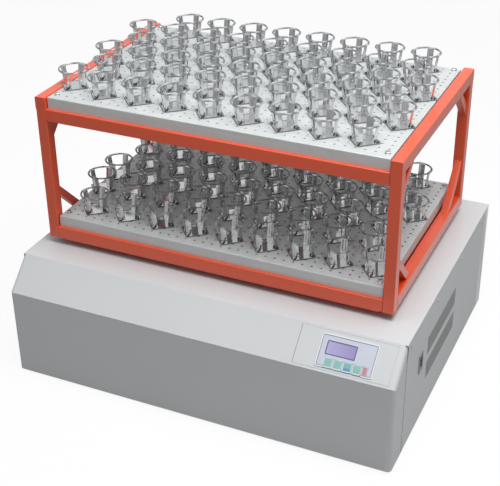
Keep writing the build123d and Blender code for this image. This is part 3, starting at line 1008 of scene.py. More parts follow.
class Repeater:
    """A Geometry Nodes tree that is built once and run on an object."""

    def __init__(self, name: str) -> None:
        """Start a tree with one geometry in and one out.

        Args:
            name: The tree's name.
        """
        self.tree = bpy.data.node_groups.new(name, "GeometryNodeTree")
        self.graph = Graph(self.tree)
        self.tree.interface.new_socket("Geometry", in_out="INPUT", socket_type="NodeSocketGeometry")
        self.tree.interface.new_socket("Geometry", in_out="OUTPUT", socket_type="NodeSocketGeometry")
        self.start = self.graph.add("NodeGroupInput")
        self.end = self.graph.add("NodeGroupOutput")

    def size(self, name: str, kind: str = "Float") -> bpy.types.NodeSocket:
        """Add a named input.

        Args:
            name: The input's name.
            kind: Float, Int, Object or Material.

        Returns:
            The socket that carries it inside the tree.
        """
        self.tree.interface.new_socket(name, in_out="INPUT", socket_type=f"NodeSocket{kind}")
        return self.start.outputs[name]

    def close(self, geometry: bpy.types.NodeSocket) -> None:
        """End the tree: make copies real and give them their material.

        Args:
            geometry: What the tree has made.
        """
        finish = self.size("Finish", "Material")
        real = self.graph.add("GeometryNodeRealizeInstances", values={0: geometry})
        dressed = self.graph.add(
            "GeometryNodeSetMaterial", values={"Geometry": real.outputs[0], "Material": finish}
        )
        self.graph.feed(self.end, {0: dressed.outputs[0]})

    def run(self, name: str, seed_mesh: bpy.types.Mesh, sizes: dict[str, Any]) -> bpy.types.Object:
        """Run the tree and keep the result as a plain mesh.

        Args:
            name: The new object's name.
            seed_mesh: The mesh that goes in.
            sizes: A value for each named input.

        Returns:
            The object.
        """
        host = bpy.data.objects.new(name + "_host", seed_mesh)
        bpy.context.scene.collection.objects.link(host)
        modifier = host.modifiers.new(self.tree.name, "NODES")
        modifier.node_group = self.tree
        keys = {
            item.name: item.identifier
            for item in self.tree.interface.items_tree
            if item.item_type == "SOCKET" and item.in_out == "INPUT"
        }
        for label, value in sizes.items():
            modifier[keys[label]] = value
        depsgraph = bpy.context.evaluated_depsgraph_get()
        mesh = bpy.data.meshes.new_from_object(host.evaluated_get(depsgraph))
        host.modifiers.remove(modifier)
        bpy.data.objects.remove(host)
        mesh.name = name
        mesh.shade_smooth()
        mesh.set_sharp_from_angle(angle=SHARP_ANGLE)
        thing = bpy.data.objects.new(name, mesh)
        bpy.context.scene.collection.objects.link(thing)
        return thing


@dataclass(frozen=True)
class Spot:
    """A place for one copy.

    Attributes:
        place: Where it stands.
        facing: The way that its own upright points.
    """

    place: Vector
    facing: Vector = field(default_factory=lambda: Vector((0.0, 0.0, 1.0)))


class Scatter(Repeater):
    """Sets copies of a prototype on spots, turned by an angle with a small random wobble."""

    def __init__(self) -> None:
        """Build the tree."""
        super().__init__("scatter")
        graph = self.graph
        prototype = graph.add(
            "GeometryNodeObjectInfo", values={"Object": self.size("Prototype", "Object")}
        )
        turn = Value(graph, self.size("Turn"))
        wobble = Value(graph, self.size("Wobble"))
        random = graph.add(
            "FunctionNodeRandomValue",
            {"data_type": "FLOAT"},
            {2: wobble * -1.0, 3: wobble, "Seed": self.size("Seed", "Int")},
        )
        spin = turn + Value(graph, random.outputs[1])
        facing = graph.add(
            "GeometryNodeInputNamedAttribute", {"data_type": "FLOAT_VECTOR"}, {"Name": "facing"}
        )
        upright = graph.add(
            "FunctionNodeAlignRotationToVector", {"axis": "Z"}, {"Vector": facing.outputs["Attribute"]}
        )
        own = graph.add("ShaderNodeCombineXYZ", values={"Z": spin})
        turned = graph.add("FunctionNodeEulerToRotation", values={0: own.outputs[0]})
        rotation = graph.add(
            "FunctionNodeRotateRotation",
            {"rotation_space": "LOCAL"},
            {0: upright.outputs[0], 1: turned.outputs[0]},
        )
        copies = graph.add(
            "GeometryNodeInstanceOnPoints",
            values={
                "Points": self.start.outputs["Geometry"],
                "Instance": prototype.outputs["Geometry"],
                "Rotation": rotation.outputs[0],
            },
        )
        self.close(copies.outputs[0])

    def place(
        self,
        name: str,
        prototype: Shape,
        spots: Iterable[Spot],
        nodes: Sequence[str],
        turn: float = 0.0,
        wobble: float = 0.0,
        material: bpy.types.Material | None = None,
    ) -> bpy.types.Object:
        """Set copies and settle them as one piece.

        Args:
            name: The piece's name.
            prototype: What is copied.
            spots: Where the copies stand.
            nodes: The CAD nodes that the piece stands for, or lies on.
            turn: Turn of each copy about its own upright, in radians.
            wobble: The most that a copy is off that turn, in radians.
            material: Its own material, for copies that lie on the nodes and don't replace them.

        Returns:
            The piece.
        """
        spots = list(spots)
        pattern = prototype.object(name + "_one")
        points = bpy.data.meshes.new(name + "_spots")
        points.from_pydata([spot.place for spot in spots], [], [])
        facing = points.attributes.new("facing", "FLOAT_VECTOR", "POINT")
        facing.data.foreach_set("vector", [part for spot in spots for part in spot.facing])
        finish = material or wardrobe.materials[wardrobe.slots[nodes[0]]]
        sizes = {
            "Prototype": pattern,
            "Turn": turn,
            "Wobble": wobble,
            "Seed": RANDOM_SEED,
            "Finish": finish,
        }
        thing = self.run(name, points, sizes)
        bpy.data.objects.remove(pattern)
        return settle(thing, nodes, finish, hides=material is None)


class SpringRing(Repeater):
    """Winds one closed coil spring round a circle that is drawn in between the fingers."""

    def __init__(self) -> None:
        """Build the tree."""
        super().__init__("spring_ring")
        graph = self.graph
        reach = Value(graph, self.size("Reach"))
        sag = Value(graph, self.size("Sag"))
        coil = Value(graph, self.size("Coil"))
        wire = Value(graph, self.size("Wire"))
        turns = Value(graph, self.size("Turns"))
        steps = Value(graph, self.size("Steps"))
        path = graph.add("GeometryNodeCurvePrimitiveCircle", values={"Resolution": turns * steps})
        index = Value(graph, graph.add("GeometryNodeInputIndex").outputs[0])
        round_angle = index / (turns * steps) * math.tau
        coil_angle = index / steps * math.tau
        drawn = (1.0 - (round_angle * 4.0).cosine()) * 0.5
        radius = reach * (1.0 - sag * drawn) + coil * coil_angle.cosine()
        spot = graph.add(
            "ShaderNodeCombineXYZ",
            values={
                0: radius * round_angle.cosine(),
                1: radius * round_angle.sine(),
                2: coil * coil_angle.sine(),
            },
        )
        wound = graph.add(
            "GeometryNodeSetPosition",
            values={"Geometry": path.outputs[0], "Position": spot.outputs[0]},
        )
        profile = graph.add("GeometryNodeCurvePrimitiveCircle", values={"Resolution": 3, "Radius": wire})
        solid = graph.add(
            "GeometryNodeCurveToMesh",
            values={"Curve": wound.outputs[0], "Profile Curve": profile.outputs[0]},
        )
        self.close(solid.outputs[0])


class Perforation(Repeater):
    """Lays copies of a pierced tile side by side and welds them into one sheet."""

    def __init__(self) -> None:
        """Build the tree."""
        super().__init__("perforation")
        graph = self.graph
        tile = graph.add("GeometryNodeObjectInfo", values={"Object": self.size("Tile", "Object")})
        columns = self.size("Columns", "Int")
        rows = self.size("Rows", "Int")
        width = (Value(graph, columns) - 1.0) * Value(graph, self.size("Pitch X"))
        depth = (Value(graph, rows) - 1.0) * Value(graph, self.size("Pitch Y"))
        grid = graph.add(
            "GeometryNodeMeshGrid",
            values={"Size X": width, "Size Y": depth, "Vertices X": columns, "Vertices Y": rows},
        )
        middle = graph.add(
            "ShaderNodeCombineXYZ",
            values={0: self.size("Middle X"), 1: self.size("Middle Y"), 2: self.size("Level")},
        )
        laid = graph.add(
            "GeometryNodeSetPosition", values={"Geometry": grid.outputs[0], "Offset": middle.outputs[0]}
        )
        copies = graph.add(
            "GeometryNodeInstanceOnPoints",
            values={"Points": laid.outputs[0], "Instance": tile.outputs["Geometry"]},
        )
        real = graph.add("GeometryNodeRealizeInstances", values={0: copies.outputs[0]})
        welded = graph.add(
            "GeometryNodeMergeByDistance", values={"Geometry": real.outputs[0], "Distance": MERGE_DISTANCE}
        )
        self.close(welded.outputs[0])


# Sub-assemblies


@dataclass
class Cabinet:
    """The folded sheet cabinet with its cover, feet and screws.

    Attributes:
        sheet_edge: Rounding of a cut sheet edge.
        bend: Outer rounding of a fold.
        bend_room: How far from the front's bend its faces are cut.
        foot_edge: Rounding of the rubber feet.
        screw_radius: Radius of a screw head.
        screw_rise: Height of a screw head.
        screw_turn: The most that a screw's recess is off the upright, in radians.
        seam: Width of the seam behind the front housing.
        seam_foot: Distance of its lower end from the wall's foot.
        seam_head: Distance of its upper end from the wall's head.
        seam_skin: How far it stands over the wall.
        slit: Width and height of the open slit at the seam's top.
        slit_corner: Shares of the width and the height at which its corner is cut off.
    """

    sheet_edge: float = 0.0004
    bend: float = 0.0015
    bend_room: float = 0.003
    foot_edge: float = 0.0015
    screw_radius: float = 0.005
    screw_rise: float = 0.002
    screw_turn: float = 1.2
    seam: float = 0.0010
    seam_foot: float = 0.004
    seam_head: float = 0.003
    seam_skin: float = 0.0003
    # slit: Width and height of the painted shade that stands for the open slit at the seam's top.
    slit: tuple[float, float] = (0.007, 0.052)
    slit_corner: tuple[float, float] = (0.7, 0.15)

    def build(self, scatter: Scatter) -> None:
        """Build every piece.

        Args:
            scatter: The tree that sets copies.
        """
        self.housing()
        self.seams()
        for node in ("left_wall", "right_wall", "back_wall", "top_cover"):
            refined(node, f"{node}_sheet", self.sheet_edge, 1, self.bend)
        refined("base_plate", "base_plate_sheet", self.sheet_edge, 1)
        refined("rubber_feet", "rubber_feet_moulded", self.foot_edge, 3)
        self.screws(scatter)

    def housing(self) -> None:
        """Build the front housing, cut on both sides of its bend."""
        face = SlopedFace("control_panel")
        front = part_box("front_housing")[0].y
        level = (face.out.dot(face.origin) - face.out.y * front) / face.out.z
        bend = Vector((0.0, front, level))
        upright = Vector((0.0, 0.0, 1.0))
        shape = Shape.of_node("front_housing")
        shape.cut(bend + face.up * self.bend_room, face.up)
        shape.cut(bend - upright * self.bend_room, upright)
        shape.fold(self.bend).soften(self.sheet_edge, 1)
        settle(shape.object("front_housing_sheet"), ["front_housing"])

    def seams(self) -> None:
        """Build a dark strip over each side wall along its seam with the front housing, widening at the top
        into painted shade where the seam opens into a slit.
        """
        # The dark strip stands over the wall: a dark joint along the seam, and painted shade for the open
        # slit at its top.
        dark = Moulded(tone(84, 87, 88), 0.8).material("seam_shadow")
        wide, tall = self.slit
        corner_wide, corner_tall = self.slit_corner
        for side, node in ((-1.0, "left_wall"), (1.0, "right_wall")):
            low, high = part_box(node)
            foot = low.z + self.seam_foot
            top = high.z - self.seam_head
            near = low.y
            outline = (
                (near, foot),
                (near + self.seam, foot),
                (near + self.seam, top - tall),
                (near + wide, top - tall * corner_tall),
                (near + wide * corner_wide, top),
                (near, top),
            )
            face = high.x if side > 0 else low.x
            shape = Shape().prism(outline, face - self.seam_skin, face + self.seam_skin).outward()
            settle(shape.object(f"{node}_seam"), [node], dark, hides=False)

    def screws(self, scatter: Scatter) -> None:
        """Build the pan-head screws with a cross recess, on both side walls.

        Args:
            scatter: The tree that sets copies.
        """
        spots = []
        for low, high in islands("cover_screws"):
            middle = (low + high) / 2
            side = 1.0 if middle.x > 0 else -1.0
            middle.x -= side * self.screw_rise / 2
            spots.append(Spot(middle, Vector((side, 0.0, 0.0))))
        scatter.place(
            "cover_screws_pan_head", self.screw(), spots, ["cover_screws"], wobble=self.screw_turn
        )

    def screw(self) -> Shape:
        """Shape one pan-head screw standing on the origin.

        Returns:
            The screw.
        """
        radius = self.screw_radius
        rise = self.screw_rise
        recess = radius * 0.55
        profile = (
            (0.0, 0.0),
            (0.0, rise * 0.45),
            (radius * 0.1, rise * 0.75),
            (radius * 0.35, rise),
            (radius - recess, rise),
            (radius - recess * 0.35, rise * 0.45),
        )
        head = Shape().loft(RegularOutline(radius, 16), profile)
        blade = RoundedOutline(recess * 1.7, recess * 0.26, recess * 0.08, 1)
        for turn in (0, 1):
            place = Matrix.Rotation(turn * math.pi / 2, 4, "Z")
            head.add(Shape().loft(blade, ((0.0, rise * 0.42), (0.0, rise * 0.5))), place)
        return head


@dataclass
class SidePanel:
    """What is set into the right and the back wall: vents, switch and mains inlet.

    Attributes:
        slat_gap: Distance from slat to slat.
        slat_depth: Depth of a slat.
        slat_sheet: Thickness of a slat.
        slat_edge: Rounding of a slat's edges.
        slat_tilt: How far a slat leans, in radians.
        slat_lap: How far the slats reach under the rim, both ends together.
        rim: Width of the grille's rim.
        rim_corner: Radius of the rim's corners.
        rim_share: Half the rim's thickness, as a share of the grille's depth.
        rim_edge: Rounding of the rim.
        rocker_change: Share of the rocker's height at which black turns to grey.
        rocker_blend: How far the change runs down and up from there.
        rocker_edge: Rounding of the rocker.
        switch_edge: Rounding of the switch's housing.
        inlet_edge: Rounding of the mains inlet.
    """

    slat_gap: float = 0.0062
    slat_depth: float = 0.0070
    slat_sheet: float = 0.0009
    slat_edge: float = 0.0002
    slat_tilt: float = math.radians(48)
    slat_lap: float = 0.002
    rim: float = 0.011
    rim_corner: float = 0.004
    rim_share: float = 0.2
    rim_edge: float = 0.0003
    rocker_change: float = 0.68
    rocker_blend: tuple[float, float] = (0.001, 0.002)
    rocker_edge: float = 0.0008
    switch_edge: float = 0.0006
    inlet_edge: float = 0.0004

    def build(self, scatter: Scatter) -> None:
        """Build every piece.

        Args:
            scatter: The tree that sets copies.
        """
        self.vents(scatter)
        self.switch()
        refined("mains_inlet", "mains_inlet_moulded", self.inlet_edge)

    def switch(self) -> None:
        """Build the switch's grey housing and its black and grey rocker."""
        grey = Moulded(tone(142, 146, 146), 0.5).material("switch_surround")
        refined("switch_housing", "switch_housing_moulded", self.switch_edge, material=grey)
        low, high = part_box("power_rocker")
        change = low.z + (high.z - low.z) * self.rocker_change
        finish = TwoTone(
            tone(28, 28, 30),
            0.35,
            second=tone(112, 115, 116),
            axis=2,
            start=change - self.rocker_blend[0],
            end=change + self.rocker_blend[1],
        )
        rocker = finish.material("rocker_plastic")
        refined("power_rocker", "power_rocker_moulded", self.rocker_edge, 3, material=rocker)

    def vents(self, scatter: Scatter) -> None:
        """Build two louvred grilles behind the right wall's windows.

        Args:
            scatter: The tree that sets copies.
        """
        rims = Shape()
        spots = []
        length = 0.0
        for low, high in islands("vent_grilles"):
            middle = (low + high) / 2
            size = high - low
            outline = RoundedOutline(size.y, size.z, self.rim_corner)
            sheet = size.x * self.rim_share
            profile = ((0.0, -sheet), (0.0, sheet), (self.rim, sheet), (self.rim, -sheet))
            wall = Matrix.Translation(middle) @ Matrix(((0, 0, 1), (1, 0, 0), (0, 1, 0))).to_4x4()
            rims.add(Shape().loft(outline, profile, ring=True), wall)
            length = size.y - 2 * self.rim + self.slat_lap
            room = size.z - 2 * self.rim
            count = round(room / self.slat_gap)
            for row in range(count):
                height = middle.z + (row + 0.5 - count / 2) * room / count
                spots.append(Spot(Vector((middle.x, middle.y, height))))
        rims.outward().soften(self.rim_edge, 1)
        settle(rims.object("vent_rims"), ["vent_grilles"])
        scatter.place("vent_slats", self.slat(length), spots, ["vent_grilles"])

    def slat(self, length: float) -> Shape:
        """Shape one tilted slat with a hemmed edge, along the second axis.

        Args:
            length: Its length.

        Returns:
            The slat.
        """
        edge = self.slat_edge
        half = self.slat_sheet / 2
        blade = RoundedOutline(self.slat_depth, length, edge, 1)
        slat = Shape().loft(blade, ((edge, -half), (0.0, 0.0), (edge, half)))
        hem = RoundedOutline(self.slat_sheet * 2, length, half, 2)
        place = Matrix.Translation((self.slat_depth / 2, 0.0, 0.0))
        slat.add(Shape().loft(hem, ((0.0, -half * 1.8), (0.0, half * 1.8))), place)
        return slat.moved(Matrix.Rotation(self.slat_tilt, 4, "Y"))


class SlopedFace:
    """The plane of the sloping control face, with places measured across it, up it and out of it."""

    def __init__(self, node: str) -> None:
        """Find the plane of a flat node's outer face.

        Args:
            node: A plate that lies in the plane.
        """
        mesh = frame["nodes"][node].data
        best = max(
            (face for face in mesh.polygons if face.normal.z > 0.1 and face.normal.y < -0.1),
            key=lambda face: (round(face.normal.dot(face.center), 4), face.area),
        )
        self.out = best.normal.copy()
        self.across = Vector((1.0, 0.0, 0.0))
        self.up = self.out.cross(self.across).normalized()
        self.origin = self.out * self.out.dot(best.center)

    def bounds(self, node: str) -> tuple[Vector, Vector]:
        """Measure a node across, up and out of the face.

        Args:
            node: The node.

        Returns:
            Its lowest and its highest corner.
        """
        points = [vert.co - self.origin for vert in frame["nodes"][node].data.vertices]
        sets = [[point.dot(axis) for point in points] for axis in (self.across, self.up, self.out)]
        return Vector([min(part) for part in sets]), Vector([max(part) for part in sets])

    def place(self, across: float, up: float, out: float = 0.0) -> Matrix:
        """Find a spot on the face.

        Args:
            across: Its distance across the face.
            up: Its distance up the face.
            out: Its distance out of the face.

        Returns:
            The matrix that carries a piece there.
        """
        turn = Matrix((self.across, self.up, self.out)).transposed().to_4x4()
        spot = self.origin + self.across * across + self.up * up + self.out * out
        return Matrix.Translation(spot) @ turn


@dataclass
class ControlPanel:
    """The control panel with its fascia, display, keys and board.

    Attributes:
        sheet_edge: Rounding of the cover plate's and the fascia's edges.
        board_edge: Rounding of the circuit board.
        corner: Corner radius of the fascia.
        line: Width of the dark line round the fascia.
        line_inset: How far the line lies inside the fascia's edge.
        skin: How far a printed or inlaid area stands over what carries it.
        lens_corner: Corner radius of the display's lens.
        lens_edge: Rounding of the lens.
        frame_reach: How far the display's frame reaches past the lens.
        frame_width: Width of the frame.
        frame_corner: Corner radius of the frame.
        key_corner: Corner radius of a key.
        key_edge: Inset of a key's rounded edge and its level against the top, point by point.
        key_rim: How far a key's coloured pad stays inside the cap's edge.
        key_foot: The same at the lower edge of the four keys in the row.
        key_gap: Clearance between the outermost keys and the bezel's ends.
        pad_corner: Corner radius of a coloured pad.
        pad_edge: Inset of a pad's edge and its level against the cap's top, point by point.
        change: Half the height in which the third key turns from blue to teal.
        seam_width: Width of the strip of painted shade along the cover plate's left edge.
        seam_corner: Corner radius of that strip's ends.
    """

    sheet_edge: float = 0.0003
    board_edge: float = 0.0002
    corner: float = 0.006
    line: float = 0.0019
    line_inset: float = 0.0026
    skin: float = 0.00025
    lens_corner: float = 0.0012
    lens_edge: float = 0.0004
    frame_reach: float = 0.0022
    frame_width: float = 0.0018
    frame_corner: float = 0.002
    key_corner: float = 0.003
    key_edge: Profile = ((0.0, -0.0006), (0.0002, -0.0002), (0.0007, 0.0))
    key_rim: float = 0.0013
    key_foot: float = 0.0036
    key_gap: float = 0.0006
    pad_corner: float = 0.002
    pad_edge: Profile = ((0.0, -0.0004), (0.0, 0.0001), (0.0006, 0.00025))
    change: float = 0.001
    seam_width: float = 0.0022
    seam_corner: float = 0.0004

    def build(self) -> None:
        """Build every piece."""
        self.face = SlopedFace("control_panel")
        self.row = [f"key_{number}" for number in range(1, 5)]
        refined("control_panel", "control_panel_sheet", self.sheet_edge, 1)
        refined("control_fascia", "control_fascia_plate", self.sheet_edge, 1)
        self.seam()
        self.outline()
        self.display()
        for node in (*self.row, "stop_key"):
            self.key(node)
        refined("control_board", "control_board_plate", self.board_edge, 1)

    def slab(
        self,
        name: str,
        node: str,
        outline: Outline,
        profile: Profile,
        place: Matrix,
        material: bpy.types.Material,
        ring: bool = False,
        hides: bool = False,
        gap: tuple[Vector, Vector] | None = None,
    ) -> None:
        """Add a lofted slab or ring on the face.

        Args:
            name: The piece's name.
            node: The CAD node that it lies on or replaces.
            outline: Its outline.
            profile: Its profile.
            place: Its place on the face.
            material: Its material.
            ring: Whether it is a closed ring.
            hides: Whether it replaces the node.
            gap: Two corners round a part of it that is left out, from its own middle.
        """
        shape = Shape().loft(outline, profile, ring)
        if gap:
            shape.without(*gap)
        settle(shape.moved(place).outward().object(name), [node], material, hides)

    def seam(self) -> None:
        """Build a pale grey strip of painted shade along the cover plate's left edge, where its gap is."""
        low, high = self.face.bounds("control_panel")
        strip = RoundedOutline(self.seam_width, high.y - low.y, self.seam_corner, 2)
        place = self.face.place(low.x, (low.y + high.y) / 2)
        # Painted shade: a grey strip laid over the plate stands for the shade in the gap at its edge.
        shade = Moulded(tone(158, 161, 162), 0.7).material("panel_seam_painted_shade")
        profile = ((0.0, -self.skin), (0.0, self.skin / 2))
        self.slab("control_panel_seam", "control_panel", strip, profile, place, shade)

    def outline(self) -> None:
        """Build a white ring of painted highlight along the fascia's edge, and the dark line inside it, both
        left open at the keys.
        """
        low, high = self.face.bounds("control_fascia")
        middle = (low + high) / 2
        place = self.face.place(middle.x, middle.y, high.z)
        edge = RoundedOutline(high.x - low.x, high.y - low.y, self.corner)
        left = self.face.bounds(self.row[0])[0].x - middle.x - self.key_gap
        right = self.face.bounds(self.row[-1])[1].x - middle.x + self.key_gap
        gap = (Vector((left, low.y - high.y, 0.0)), Vector((right, 0.0, 0.0)))
        lift = self.skin
        inset = self.line_inset
        inner = inset + self.line
        # Painted highlight: a near-white ring on the fascia's edge stands for the light that the raised edge
        # catches.
        white = Moulded(tone(232, 233, 236), 0.45, gloss=0.2).material("fascia_bezel")
        profile = ((0.0, -lift), (0.0, lift * 2), (inset, lift * 2), (inset, -lift))
        self.slab("fascia_bezel", "control_fascia", edge, profile, place, white, ring=True, gap=gap)
        dark = Moulded(tone(132, 136, 150), 0.45).material("fascia_line")
        profile = ((inset, -lift), (inset, lift), (inner, lift), (inner, -lift))
        self.slab("fascia_line", "control_fascia", edge, profile, place, dark, ring=True, gap=gap)

    def display(self) -> None:
        """Build the display's lens in a slim dark frame."""
        low, high = self.face.bounds("display")
        middle = (low + high) / 2
        size = high - low
        place = self.face.place(middle.x, middle.y)
        lens = RoundedOutline(size.x, size.y, self.lens_corner, 3)
        profile = ((0.0, low.z), (0.0, high.z - self.lens_edge), (self.lens_edge, high.z))
        finish = TwoTone(
            tone(176, 171, 214), 0.14, second=tone(150, 141, 194), start=low.x, end=high.x, gloss=0.8
        )
        glass = finish.material("display_glass")
        self.slab("display_lens", "display", lens, profile, place, glass, hides=True)
        top = self.face.bounds("control_fascia")[1].z
        foot = top - self.skin
        head = top + self.skin
        dark = Moulded(tone(92, 92, 120), 0.4).material("display_frame")
        reach = 2 * self.frame_reach
        rim = RoundedOutline(size.x + reach, size.y + reach, self.frame_corner, 3)
        profile = ((0.0, foot), (0.0, head), (self.frame_width, head), (self.frame_width, foot))
        self.slab("display_frame", "control_fascia", rim, profile, place, dark, ring=True)

    def key(self, node: str) -> None:
        """Build one pale key cap with a coloured pad on it.

        Args:
            node: The key's CAD node.
        """
        low, high = self.face.bounds(node)
        middle = (low + high) / 2
        size = high - low
        place = self.face.place(middle.x, middle.y)
        top = high.z
        stop = node == "stop_key"
        cap = RoundedOutline(size.x, size.y, self.key_corner)
        profile = [(0.0, low.z)] + [(inset, top + level) for inset, level in self.key_edge]
        pale = Moulded(tone(206, 222, 228), 0.4, gloss=0.3)
        material = wardrobe.materials["fascia_plastic"] if stop else pale.material("key_cap")
        self.slab(f"{node}_cap", node, cap, profile, place, material, hides=True)
        rim = self.key_rim
        foot = rim if stop else self.key_foot
        pad = RoundedOutline(size.x - 2 * rim, size.y - rim - foot, self.pad_corner)
        spot = self.face.place(middle.x, middle.y + (foot - rim) / 2)
        profile = [(inset, top + level) for inset, level in self.pad_edge]
        self.slab(f"{node}_pad", node, pad, profile, spot, self.pad_material(node, spot))

    def pad_material(self, node: str, spot: Matrix) -> bpy.types.Material:
        """Choose the material of a key's pad.

        Args:
            node: The key's CAD node.
            spot: The pad's place.

        Returns:
            The material.
        """
        if node == "stop_key":
            return wardrobe.materials["key_red"]
        if node != "key_3":
            return wardrobe.materials["key_teal"]
        level = spot.translation.z
        finish = TwoTone(
            tone(92, 148, 190),
            0.4,
            second=tone(128, 178, 178),
            axis=2,
            start=level - self.change,
            end=level + self.change,
            gloss=0.25,
        )
        return finish.material("key_two_tone")


@dataclass
class Drive:
    """Chassis, bearings, cranks, counterweight, belt drive and motor inside the cabinet.

    Attributes:
        cast_edge: Rounding of a cast or machined edge.
        ground_edge: Rounding of a ground edge and of the belt.
        sheet_edge: Rounding of a folded sheet edge.
    """

    cast_edge: float = 0.0012
    ground_edge: float = 0.0008
    sheet_edge: float = 0.0006

    def build(self) -> None:
        """Build every piece."""
        machined = (
            "bearing_housings", "carrier_housings", "counterweight", "driven_pulley", "motor_pulley", "motor",
        )
        ground = ("drive_crank", "idler_crank_front_left", "idler_crank_front_right", "idler_crank_rear")
        folded = (
            "crossbeam_left", "crossbeam_middle", "crossbeam_right", "chassis_legs", "motor_mount",
            "speed_controller",
        )
        for node in machined:
            refined(node, f"{node}_machined", self.cast_edge)
        for node in ground:
            refined(node, f"{node}_ground", self.ground_edge)
        for node in folded:
            refined(node, f"{node}_folded", self.sheet_edge)
        refined("drive_belt", "drive_belt_flat", self.ground_edge)


@dataclass
class Platform:
    """The tube frame with its two perforated trays.

    Attributes:
        tube_corner: Outer corner radius of the square tube.
        tube_edge: Rounding of a sawn tube end.
        tube_length: Length from which an edge is a tube's corner.
        brace_fold: Rounding of the corner braces' long edges.
        end_edge: Rounding of the rails' end plates.
        carrier_edge: Rounding of the carrier plate.
        hole_radius: Radius of a hole in the trays.
        pitch: Distance from hole to hole along each axis.
        columns: How many holes a row has.
        rows: How many rows of holes there are.
        tray_sheet: Thickness of the trays.
        tray_bend: Outer radius of the trays' folds.
        tray_nose: How far the trays reach forward over the front rails.
        bolt_radius: Radius of a bolt head over its corners.
        bolt_rise: Height of a bolt head.
        bolt_edge: Width and height of its chamfer.
        washer_radius: Radius of the washer under it.
        washer_sheet: Thickness of the washer below its chamfer.
        washer_edge: Width and height of the washer's chamfer.
        bolt_turn: The most that a bolt is off the tray's axes, in radians.
    """

    tube_corner: float = 0.0028
    tube_edge: float = 0.0003
    tube_length: float = 0.1
    brace_fold: float = 0.0016
    end_edge: float = 0.0006
    carrier_edge: float = 0.0008
    hole_radius: float = 0.0032
    pitch: tuple[float, float] = (0.0256, 0.0237)
    columns: int = 36
    rows: int = 25
    tray_sheet: float = 0.002
    tray_bend: float = 0.0025
    tray_nose: float = 0.009
    bolt_radius: float = 0.0072
    bolt_rise: float = 0.0058
    bolt_edge: tuple[float, float] = (0.0009, 0.0006)
    washer_radius: float = 0.00792
    washer_sheet: float = 0.0012
    washer_edge: tuple[float, float] = (0.0004, 0.0003)
    bolt_turn: float = 0.5

    def build(self, scatter: Scatter) -> None:
        """Build every piece.

        Args:
            scatter: The tree that sets copies.
        """
        self.tubes("frame_posts")
        for rails in ("side", "cross"):
            for level in ("upper", "lower"):
                self.tubes(f"{level}_{rails}_rails")
        refined("corner_braces", "corner_braces_welded", self.tube_edge, fold=self.brace_fold)
        refined("rail_end_plates", "rail_end_plates_welded", self.end_edge)
        refined("carrier_plate", "carrier_plate_cut", self.carrier_edge)
        perforation = Perforation()
        for level in ("upper", "lower"):
            self.tray(f"{level}_tray", perforation)
        self.bolts(scatter)

    def tubes(self, node: str) -> None:
        """Round the corners and the sawn ends of a node's square tubes.

        Args:
            node: The CAD node.
        """
        shape = Shape.of_node(node).soften(self.tube_corner, 4, shortest=self.tube_length, outer=True)
        shape.soften(self.tube_edge, 1)
        settle(shape.object(f"{node}_rolled"), [node])

    def tray(self, node: str, perforation: Perforation) -> None:
        """Build one perforated tray: the pierced sheet, and the border with its folds.

        Args:
            node: The tray's CAD node.
            perforation: The tree that lays the pierced tiles.
        """
        low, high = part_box(node)
        middle = (low + high) / 2
        pitch_x, pitch_y = self.pitch
        tile = self.tile().object(f"{node}_tile")
        sizes = {
            "Tile": tile,
            "Columns": self.columns,
            "Rows": self.rows,
            "Pitch X": pitch_x,
            "Pitch Y": pitch_y,
            "Middle X": middle.x,
            "Middle Y": middle.y,
            "Level": high.z,
            "Finish": wardrobe.materials["tray_sheet"],
        }
        sheet = perforation.run(f"{node}_perforated", bpy.data.meshes.new(f"{node}_seed"), sizes)
        bpy.data.objects.remove(tile)
        settle(sheet, [node])
        profile = self.fold_profile(high.z - low.z)
        border = self.border(high - low, (self.columns * pitch_x, self.rows * pitch_y), profile)
        border.moved(Matrix.Translation((middle.x, middle.y, high.z))).outward()
        settle(border.object(f"{node}_folds"), [node])

    def tile(self) -> Shape:
        """Shape one tile of sheet with its hole, its top at level 0.

        Returns:
            The tile.
        """
        shape = Shape()
        half_x, half_y = (pitch / 2 for pitch in self.pitch)
        edge = [(1, 0), (1, 1), (0, 1), (-1, 1), (-1, 0), (-1, -1), (0, -1), (1, -1)]
        turns = [math.atan2(y, x) for x, y in edge]
        hole = [(self.hole_radius * math.cos(turn), self.hole_radius * math.sin(turn)) for turn in turns]
        sides = []
        for level in (0.0, -self.tray_sheet):
            outer = [shape.mesh.verts.new((half_x * x, half_y * y, level)) for x, y in edge]
            inner = [shape.mesh.verts.new((x, y, level)) for x, y in hole]
            sides.append((outer, inner))
        (top_edge, top_hole), (low_edge, low_hole) = sides
        shape.bridge((top_edge, top_hole, low_hole, low_edge))
        return shape

    def fold_profile(self, fold: float) -> list[tuple[float, float]]:
        """Find the section of the border, from the sheet out and down.

        Args:
            fold: Height of the fold.

        Returns:
            Inset and level of each point of its outer skin, its foot and its inner skin.
        """
        bend = self.tray_bend
        sheet = self.tray_sheet
        angles = [math.radians(angle) for angle in range(0, 91, 18)]
        outer = [(bend - bend * math.sin(angle), bend * math.cos(angle) - bend) for angle in angles]
        return outer + [(0.0, -fold), (sheet, -fold), (sheet, -sheet)]

